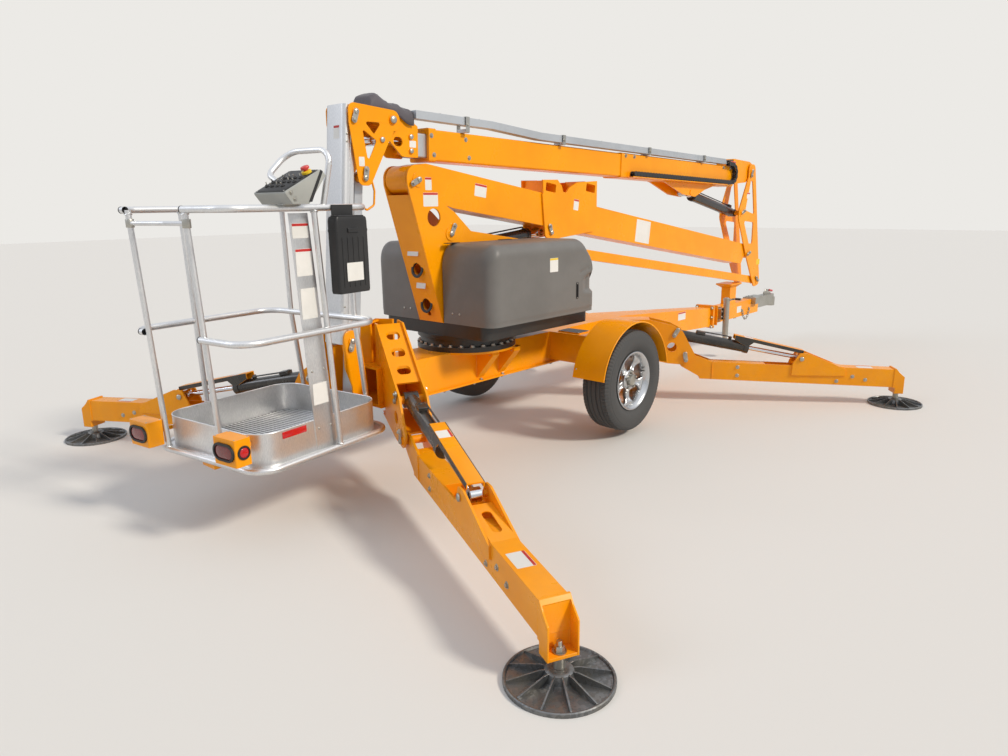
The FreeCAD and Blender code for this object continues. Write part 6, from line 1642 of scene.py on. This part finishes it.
@dataclass(frozen=True)
class BoomCover:
    """The slack cloth cap over the end of the upper boom."""

    rear: float = -5.044
    front: float = -4.722
    half: float = 0.088
    low: float = 0.066
    high: float = 0.150
    folds: int = 6
    fold_depth: float = 0.010
    cloth: float = 0.0016

    def build(self) -> None:
        """Makes the cloth as sections along the boom.

        Each section is an arch between the two lower edges, a power curve of sine and cosine.
        Its height swells along the boom, and folds are ridged waves that bend with the arch.
        """
        u = np.linspace(0, 1, 64)
        v = np.linspace(0, math.pi, 72)
        x = self.rear + (self.front - self.rear) * u
        swell = 0.050 + 0.066 * np.exp(-((u - 0.20) / 0.24) ** 2) + 0.022 * np.exp(
            -((u - 0.66) / 0.20) ** 2)
        swell *= 1 - 0.75 * (1 - ease(u, -0.02, 0.07))
        c, s = np.cos(v), np.sin(v)
        droop = ease(x, -4.850, -4.750)[:, None]
        y = -(self.half + 0.006 * droop) * (np.sign(c) * np.abs(c) ** 0.62)[None, :]
        near = (0.5 + 0.5 * np.clip(c * 1.6, -1, 1))[None, :]
        base = self.low - 0.044 * droop * near
        z = base + (swell[:, None] + self.low - base) * np.abs(s)[None, :] ** 0.50
        rng = np.random.default_rng(7)
        fold = np.zeros((64, 72))
        for _ in range(self.folds):
            angle, wide, phase = rng.uniform(-0.9, 0.9), rng.uniform(6, 13), rng.uniform(0, 6.28)
            wave = np.sin(wide * (u[:, None] + angle * (v[None, :] / math.pi - 0.5)) + phase)
            fold += rng.uniform(0.5, 1.0) * (1 - np.abs(wave)) ** 2
        fold = (fold / fold.max() - 0.45) * self.fold_depth
        ends = ease(u, 0.0, 0.06)[:, None] * (1 - ease(u, 0.94, 1.0))[:, None]
        fade = np.minimum(1, np.abs(s) * 2.2)[None, :]
        z = np.minimum(z + fold * (0.35 + 0.65 * ends) * fade, self.high + 0.038)
        y = y * (1 + fold)
        z[0] = np.minimum(z[0], z[1] - 0.004)
        grid = np.stack([np.broadcast_to(x[:, None], z.shape), y, z], -1)
        made = Shape().grid(UPPER(grid))
        piece = made.piece("boom_end_cloth", "inner_boom", COATED_POLYESTER, smooth=180,
            replaces=["boom_cover"])
        wall = piece.modifiers.new("thickness", "SOLIDIFY")
        wall.thickness = self.cloth
        wall.offset = 0


# Jib and basket


@dataclass(frozen=True)
class Jib:
    """The aluminium profile of the jib and the fittings at its two ends."""

    half: float = 0.086
    back: float = -0.062
    front: float = 0.012
    length: float = 1.255
    groove: float = 0.0035

    def build(self) -> None:
        """Makes the jib's pieces."""
        b, h = self.back, self.half
        rim = self.dense(rounded([(self.front, -h, 0.004), (self.front, h, 0.004), (b, h, 0.026),
            (b, -h, 0.026)], 7))
        # Long shallow grooves drawn into the two sides
        dent = self.groove * (1 - ease(np.abs(rim[:, 0] + 0.018), 0.0020, 0.0036)) * (np.abs(rim[:, 1]) > h
            - 0.002)
        rim[:, 1] -= np.sign(rim[:, 1]) * dent
        made = Shape().slab(rim, -self.length - 0.020, 0.036, JIB, 0.0012)
        for z in (0.0, -self.length):
            for sign in (1, -1):
                eye = JIB.flank(sign, 0, self.half - 0.001, z)
                made.lathe([(0.0, -0.02), (0.042, -0.02), (0.042, -0.0005), (0.0405, 0.001), (0.0, 0.001)],
                    eye, 40)
        made.piece("jib_profile", "jib_mast", MILL_ALUMINIUM, smooth=28, replaces=["jib_mast"])
        small = Fittings("jib", "jib_mast")
        for z in (-0.120, -0.160, -1.060, -1.100):
            for sign in (1, -1):
                small.zinc(dome(0.006, 0.004, 14), JIB.flank(sign, -0.040, self.half, z))
        small.plate(JIB.at(self.back - 0.0002, -0.020, -0.110).facing((-1, 0, 0)), 0.050, 0.070,
            band=RED_VINYL)
        for sign in (1, -1):
            for x, z in ((0.0, 0.0), (0.041, -0.347)):
                small.zinc(pin_cap(0.022, 0.044, 250), BRACKET.flank(sign, x, 0.110, z), body="basket")
        small.pieces()

    @staticmethod
    def dense(rim: Array, step: float = 0.0012) -> Array:
        """The outline with points on its two sides close enough to hold the grooves."""
        found = []
        for a, b in zip(rim, np.roll(rim, -1, 0)):
            long = abs(b[0] - a[0]) > 0.03
            parts = int(abs(b[0] - a[0]) / step) if long else 1
            found.append(a + (b - a) * np.linspace(0, 1, max(parts, 1), endpoint=False)[:, None])
        return np.concatenate(found)


@dataclass(frozen=True)
class Basket:
    """The work basket: floor ribs, lamps, reflectors, control box, document box and clamps."""

    half_x: float = 0.448
    half_y: float = 0.428
    rail: float = 0.0165
    bend: float = 0.120
    kick: float = 0.170
    mid: float = 0.622
    top: float = 1.216

    def build(self) -> None:
        """Makes the basket's pieces."""
        small = Fittings("basket", "basket")
        self.floor()
        self.hem()
        self.joints(small)
        self.reflectors(small)
        self.lamps(small)
        self.console(small)
        self.document_box(small)
        for z, height in ((0.300, 0.110), (0.760, 0.150), (0.960, 0.130), (1.110, 0.070)):
            lean = (z - 0.008) / 1.184
            small.plate(BASKET.flank(-1, -0.004 - 0.078 * lean, 0.3985, z), 0.100, height,
                band=RED_VINYL if z > 0.9 else None)
        for z in (0.120, 0.420):
            for x in (-0.045, 0.035):
                small.zinc(dome(0.006, 0.004, 14), BASKET.flank(-1, x - 0.06 * z, 0.3985, z))
        small.pieces()

    def floor(self) -> None:
        """Ribs drawn along the floor planks, 25 mm apart, clipped to the rounded floor."""
        made = Shape()
        hx, hy, r = self.half_x - 0.040, self.half_y - 0.040, self.bend - 0.010
        for x in np.arange(-hx + 0.012, hx, 0.025):
            over = max(0.0, abs(x) - (hx - r))
            reach = hy - r + math.sqrt(max(r * r - over * over, 0.0)) - 0.004
            section = np.array([(-0.0045, 0.0), (-0.0030, 0.0048), (-0.0012, 0.0060), (0.0012, 0.0060),
                (0.0030, 0.0048), (0.0045, 0.0)])
            rows = [lifted(section * k + [x, 0.0035], y, 1) for y, k in ((-reach, 0.2),
                (-reach + 0.004, 1.0), (reach - 0.004, 1.0), (reach, 0.2))]
            made.grid(BASKET(np.array(rows)), close_v=True, cap=True)
        made.piece("floor_ribs", "basket", MILL_ALUMINIUM, smooth=25)
        deck = rounded([(hx, -hy, r), (hx, hy, r), (-hx, hy, r), (-hx, -hy, r)], 7)
        Shape().slab(deck, 0.0036, 0.0046, BASKET).piece("floor_deck", "basket", DULL_ALUMINIUM)

    def kick_path(self, inset: float, z: float) -> Array:
        """The rounded line of the kick plate."""
        x, y = self.half_x - inset, self.half_y - inset
        r = self.bend
        return rounded([(x, -y, z, r), (x, y, z, r), (-x, y, z, r), (-x, -y, z, r)], 7)

    def hem(self) -> None:
        """The folded upper edge of the kick plate."""
        made = Shape()
        made.tube(self.kick_path(0.0355, self.kick - 0.001), 0.0035, 8, True, place=BASKET)
        made.piece("kick_hem", "basket", MILL_ALUMINIUM)

    def joints(self, small: Fittings) -> None:
        """Sleeves and weld beads where posts meet the rails, and plastic caps on open rail ends."""
        hx, hy = self.half_x, self.half_y
        ring = turns(20)
        posts = [((-hx, hy - 0.120, 0), (-hx - 0.060, hy - 0.120, self.top)),
            ((-hx, -0.150, 0), (-hx - 0.060, -0.150, self.top)), ((-0.120, hy, 0),
            (-0.150, hy + 0.010, self.top)), ((0.060, -hy, 0), (-0.020, -hy - 0.010, self.top))]
        for low, high in posts:
            low, high = np.array(low), np.array(high)
            way = (high - low) / np.linalg.norm(high - low)
            for z in (0.0, self.top):
                side = 1 if z == 0 else -1
                centre = low + (high - low) * (z / self.top) + way * side * 0.0185
                circle = np.column_stack([0.0162 * np.cos(ring), 0.0162 * np.sin(ring), 0 * ring]) + centre
                circle[:, 2] += 0.0035 * np.cos(2 * ring) * side
                small.on(MILL_ALUMINIUM).tube(circle, 0.0028, 6, True, place=BASKET)
        plug = Shape().lathe([(0, -0.004), (0.0172, -0.004), (0.0172, 0.002), (0.014, 0.005), (0, 0.006)],
            parts=24)
        for sign, y in ((1, -0.130), (-1, hy - 0.070)):
            small.put(BLACK_ABS, plug, *[BASKET.at(x, y, z).facing((0, sign, 0)) for x,
                z in ((-hx - 0.040, self.mid), (-hx - 0.060, self.top))])
        # Hinge and latch of the gate bar
        z = self.top - 0.062
        for x, y in ((-hx - 0.056, -0.150), (-hx - 0.056, hy - 0.120)):
            small.on(BRIGHT_ZINC).lathe([(0.0142, -0.020), (0.0185, -0.020), (0.0195, -0.018),
                (0.0195, 0.018), (0.0185, 0.020), (0.0142, 0.020)], BASKET.at(x, y, z), 28, closed=True)

    def reflectors(self, small: Fittings) -> None:
        """A red reflector on each long side of the kick plate."""
        for sign in (1, -1):
            side = BASKET.flank(sign, -0.205, self.half_y - 0.034, 0.142)
            small.on(RED_ACRYLIC).slab(box_outline(0.150, 0.034, 0.004), 0.0, 0.0025, side, 0.0008)

    def lamps(self, small: Fittings) -> None:
        """Oval tail lamps and round side lamps with rubber grommets, on the two lamp boxes."""
        for sign, y, z in ((-1, 0.330, 0.130), (1, 0.380, 0.100)):
            rear = BASKET.at(-0.5600, sign * y, z).facing((-1, 0, 0))
            rim = oblong(0.150, 0.086, 14)
            hole = oblong(0.128, 0.064, 14)
            small.on(HOSE_RUBBER).ring(rim, hole, -0.001, 0.009, rear)
            small.on(DARK_RED_ACRYLIC).join(self.lens(0.130, 0.066), rear.at(0, 0, 0.002))
            flank = BASKET.flank(sign, -0.516, y + 0.082, z)
            small.on(HOSE_RUBBER).lathe([(0.022, 0.0), (0.033, 0.0), (0.034, 0.003), (0.032, 0.008),
                (0.026, 0.008), (0.024, 0.004), (0.022, 0.004)], flank, 36, closed=True)
            a = np.linspace(0, math.pi / 2, 8)
            cap = [(0.0, 0.0), (0.0245, 0.0)] + [(0.0245 * math.cos(t), 0.003 + 0.006 * math.sin(t))
                for t in a]
            cap[-1] = (0.0, 0.009)
            small.on(RED_ACRYLIC).lathe(cap, flank, 36)
            for dx in (-0.036, 0.036):
                for dy in (-0.074, 0.074):
                    small.zinc(dome(0.004, 0.0025, 12), BASKET.at(-0.516 + dx, sign * y + dy * 0.93,
                        z + 0.066))

    @staticmethod
    def lens(length: float, width: float) -> Shape:
        """An oval lens: the outline drawn in over a flat dome."""
        outline = oblong(length, width, 14)
        rows = [lifted(outline, -0.002)]
        for t in np.linspace(0, math.pi / 2, 7):
            rows.append(lifted(outline * math.cos(t * 0.93), 0.007 * math.sin(t)))
        return Shape().grid(np.array(rows), close_v=True, cap=True)

    def console(self, small: Fittings) -> None:
        """The control box's shell, dark switch panel, switches, stop button and guard hoop."""
        crown = self.top + self.rail
        profile = rounded([(-0.206, crown, 0.006), (-0.112, crown, 0.010), (0.000, 1.364, 0.008),
            (-0.030, 1.389, 0.008), (-0.250, 1.284, 0.008)], 15)
        rows = []
        for y, inset in ((-0.5180, 0.006), (-0.5150, 0.0), (-0.3010, 0.0), (-0.2980, 0.006)):
            middle = profile.mean(0)
            ring = profile + (middle - profile) / np.linalg.norm(middle - profile, axis=1)[:, None] * inset
            rows.append(lifted(ring, y, 1))
        shell = Shape().grid(BASKET(np.array(rows)), close_v=True, cap=True)
        shell.piece("control_box_shell", "basket", GREY_POWDER_COAT, smooth=32, replaces=["console"])
        slope = BASKET.at(-0.140, -0.408, 1.3365).facing((-0.105, 0, 0.220), (1, 0, 0))
        small.on(BLACK_ABS).slab(box_outline(0.196, 0.232, 0.008), -0.002, 0.0022, slope, 0.0008)
        small.on(BLACK_ABS).slab(box_outline(0.182, 0.218, 0.006), 0.0022, 0.0034, slope, 0.0006)
        boot = Shape().lathe([(0, 0), (0.010, 0), (0.0105, 0.003), (0.006, 0.008), (0.0035, 0.010),
            (0, 0.010)], parts=20)
        stick = Shape().lathe([(0, 0.006), (0.0020, 0.006), (0.0027, 0.018), (0.0022, 0.021), (0, 0.0215)],
            parts=14)
        for row, x in enumerate((-0.072, -0.036, 0.0, 0.036, 0.072)):
            for column, y in enumerate((-0.062, -0.020, 0.022)):
                if (row, column) in ((4, 0), (0, 2)):
                    continue
                tilt = slope.at(x, y, 0.0034)
                small.put(BLACK_ABS, boot, tilt)
                small.zinc(stick, tilt.facing((0.0, 0.22 * (-1) ** (row + column), 1.0)))
        stop = slope.at(0.062, 0.076, 0.0030)
        small.on(YELLOW_VINYL).lathe([(0, 0), (0.024, 0), (0.024, 0.010), (0.020, 0.013), (0, 0.013)], stop,
            32)
        small.on(RED_PLASTIC).lathe([(0, 0.013), (0.011, 0.013), (0.011, 0.019), (0.020, 0.021),
            (0.0210, 0.027), (0.0185, 0.032), (0.010, 0.0345), (0, 0.035)], stop, 32)
        for x, y in ((-0.090, -0.108), (0.090, -0.108), (-0.090, 0.108), (0.090, 0.108)):
            small.zinc(dome(0.0035, 0.002, 10), slope.at(x, y, 0.0022))
        stripe = np.array([(-0.020, 1.3800), (-0.034, 1.3865), (-0.116, 1.2420), (-0.097, 1.2420)])
        for y in (-0.5192, -0.2980):
            small.on(BLACK_ABS).sweep(stripe, y, y + 0.0012, BASKET)
        small.zinc(hex_bolt(0.012, 0.005), *[BASKET.flank(-1, x, 0.5184, z) for x,
            z in ((-0.195, 1.255), (-0.215, 1.283))])
        saddle = BASKET.at(-0.158, -0.428, crown - 0.003)
        small.on(BRIGHT_ZINC).slab(box_outline(0.100, 0.060, 0.006), 0.0, 0.006, saddle, 0.001)
        hoop = rounded([(0.050, -0.428, 1.222, 0), (0.086, -0.468, 1.486, 0.062),
            (0.066, -0.188, 1.486, 0.085), (-0.060, -0.180, 1.372, 0.050), (-0.078, -0.300, 1.318, 0)], 8,
            closed=False)
        guard = Shape().tube(hoop, 0.0145, 24, place=BASKET)
        guard.piece("console_hoop", "basket", MILL_ALUMINIUM)

    def document_box(self, small: Fittings) -> None:
        """The moulded document box: body, ribbed lid, latch and hinge."""
        place = BASKET.at(0.143, -0.491, 0.0)
        body = Shape()
        outline = box_outline(0.212, 0.066, 0.012, 12)
        levels = ((0.800, 0.955), (0.806, 0.985), (0.815, 1.0), (1.100, 1.0), (1.100, 1.018),
            (1.112, 1.018), (1.112, 1.0), (1.150, 0.995), (1.166, 0.965), (1.172, 0.92))
        rows = [lifted(outline * k, z) for z, k in levels]
        body.grid(place(np.array(rows)), close_v=True, cap=True)
        for x in (-0.072, -0.036, 0.0, 0.036, 0.072):
            body.slab(box_outline(0.008, 0.245, 0.003, 30), 0.0, 0.0028, place.flank(-1, x, 0.0325, 0.952),
                0.0008)
        body.slab(box_outline(0.070, 0.022, 0.004), 0.0, 0.006, place.flank(-1, 0, 0.033, 1.106), 0.0015)
        body.slab(box_outline(0.172, 0.060, 0.006), 1.171, 1.178, place, 0.002)
        body.slab(box_outline(0.140, 0.0066, 0.001), 1.150, 1.229, BASKET.at(0.143, -0.4581, 0), 0.0006)
        body.piece("document_case", "basket", BLACK_ABS, smooth=35, replaces=["document_box"])
        small.plate(place.flank(-1, 0.0, 0.0362, 0.905), 0.110, 0.090)


# Surfaces of the CAD nodes, the studio and the camera


def dress() -> None:
    """Gives each CAD node its finish, and a weld, bevel and even shading."""
    slots = {part["node"]: part["material_slot"] for part in frame["record"]["subparts"]}
    for name, piece in frame["nodes"].items():
        piece.data.materials.clear()
        piece.data.materials.append(NODE_FINISHES[slots[name]].material())
        piece.data.shade_smooth()
        weld = piece.modifiers.new("joined", "WELD")
        weld.merge_threshold = MERGE
        flat = piece.modifiers.new("flats", "DECIMATE")
        flat.decimate_type = "DISSOLVE"
        flat.angle_limit = FLAT
        soften(piece, 0.0022 if "boom" in name or "frame" in name else 0.0016, 33, True)


@dataclass(frozen=True)
class Studio:
    """A pale floor, a soft studio light and the photograph's camera."""

    size: float = 40.0
    sun: float = 2.4
    sky: float = 0.56
    lens: float = 25.92
    eye: tuple = (-5.118, -3.4757, 1.6169)
    yaw: float = 0.7325
    pitch: float = 0.2346
    roll: float = -0.013

    def build(self) -> None:
        """Sets up the floor, the light, the view and the camera."""
        self.floor()
        self.light()
        self.camera()
        bpy.context.scene.view_settings.view_transform = "Standard"

    def floor(self) -> None:
        """A large pale floor at the ground."""
        grid = np.array([[(-self.size, -self.size, 0), (self.size, -self.size, 0)],
            [(-self.size, self.size, 0), (self.size, self.size, 0)]], float)
        made = bpy.data.objects.new("studio_floor", Shape().grid(grid).mesh("studio_floor"))
        bpy.context.scene.collection.objects.link(made)
        finish = bpy.data.materials.new("studio_floor")
        finish.use_nodes = True
        shader = finish.node_tree.nodes["Principled BSDF"]
        shader.inputs["Base Color"].default_value = linear("dcdad6")
        shader.inputs["Roughness"].default_value = 0.85
        made.data.materials.append(finish)

    def light(self) -> None:
        """A sun low in softness from the right side of the machine, over a pale even sky."""
        world = bpy.data.worlds.new("studio")
        bpy.context.scene.world = world
        world.use_nodes = True
        tree = world.node_tree
        tree.nodes.clear()
        path = node(tree, "ShaderNodeLightPath")
        seen = maths(tree, "MAXIMUM", path.outputs["Is Camera Ray"], path.outputs["Is Transmission Ray"])
        place = node(tree, "ShaderNodeTexCoord").outputs["Generated"]
        up = node(tree, "ShaderNodeSeparateXYZ", None, {"Vector": place}).outputs["Z"]
        gradient = ranged(tree, up, -0.10, 0.80, 0.62, 1.15, "SMOOTHSTEP")
        level = mixed(tree, path.outputs["Is Glossy Ray"], self.sky, 0.92, "FLOAT")
        strength = mixed(tree, seen, maths(tree, "MULTIPLY", gradient, level), 1.0, "FLOAT")
        colour = mixed(tree, seen, linear("f2f5fb"), linear("eceae6"))
        background = node(tree, "ShaderNodeBackground", None, {"Color": colour, "Strength": strength})
        output = node(tree, "ShaderNodeOutputWorld")
        tree.links.new(background.outputs["Background"], output.inputs["Surface"])
        lamps = (("key", self.sun, 9.0, (-0.22, 0.80, -0.62), "fff6e8"),
            ("rim", 0.55, 25.0, (0.75, -0.55, -0.55), "eef3ff"))
        for name, power, angle, toward, tint in lamps:
            lamp = bpy.data.lights.new(name, "SUN")
            lamp.energy = power
            lamp.angle = math.radians(angle)
            lamp.color = linear(tint)[:3]
            made = bpy.data.objects.new(name, lamp)
            made.rotation_euler = Vector(toward).to_track_quat("-Z", "Y").to_euler()
            bpy.context.scene.collection.objects.link(made)

    def camera(self) -> None:
        """The camera of the photograph: its place, heading, dip and roll."""
        yaw, pitch, roll = self.yaw, self.pitch, self.roll
        ahead = np.array([math.cos(yaw) * math.cos(pitch), math.sin(yaw) * math.cos(pitch),
            -math.sin(pitch)])
        right = np.cross(ahead, [0, 0, 1.0])
        right /= np.linalg.norm(right)
        up = np.cross(right, ahead)
        right, up = (math.cos(roll) * right + math.sin(roll) * up, -math.sin(roll) * right + math.cos(roll)
            * up)
        lens = bpy.data.cameras.new("photo_camera")
        lens.lens = self.lens
        lens.sensor_width = 36.0
        lens.sensor_fit = "HORIZONTAL"
        lens.clip_end = 200.0
        made = bpy.data.objects.new("photo_camera", lens)
        columns = np.column_stack([right, up, -ahead])
        turned_to = Matrix([list(row) + [0.0] for row in columns.tolist()] + [[0, 0, 0, 1]])
        made.matrix_world = Matrix.Translation(self.eye) @ turned_to
        bpy.context.scene.collection.objects.link(made)
        bpy.context.scene.camera = made


def main() -> None:
    """Builds every sub-assembly, then the studio."""
    dress()
    Wheels().build()
    Chassis().build()
    Hitch().build()
    Turret().build()
    Booms().build()
    BoomCover().build()
    Jib().build()
    Basket().build()
    for end, hinge, pad in (("rear", (-1.760, 0.550), (-2.532, 2.160)), ("front", (1.100, 0.650),
            (2.088, 2.065))):
        for side, sign in SIDES:
            Outrigger(f"{end}_{side}", (hinge[0], sign * hinge[1]), (pad[0], sign * pad[1])).build()
    Studio().build()
    bpy.context.view_layer.update()


if __name__ == "__main__":
    main()
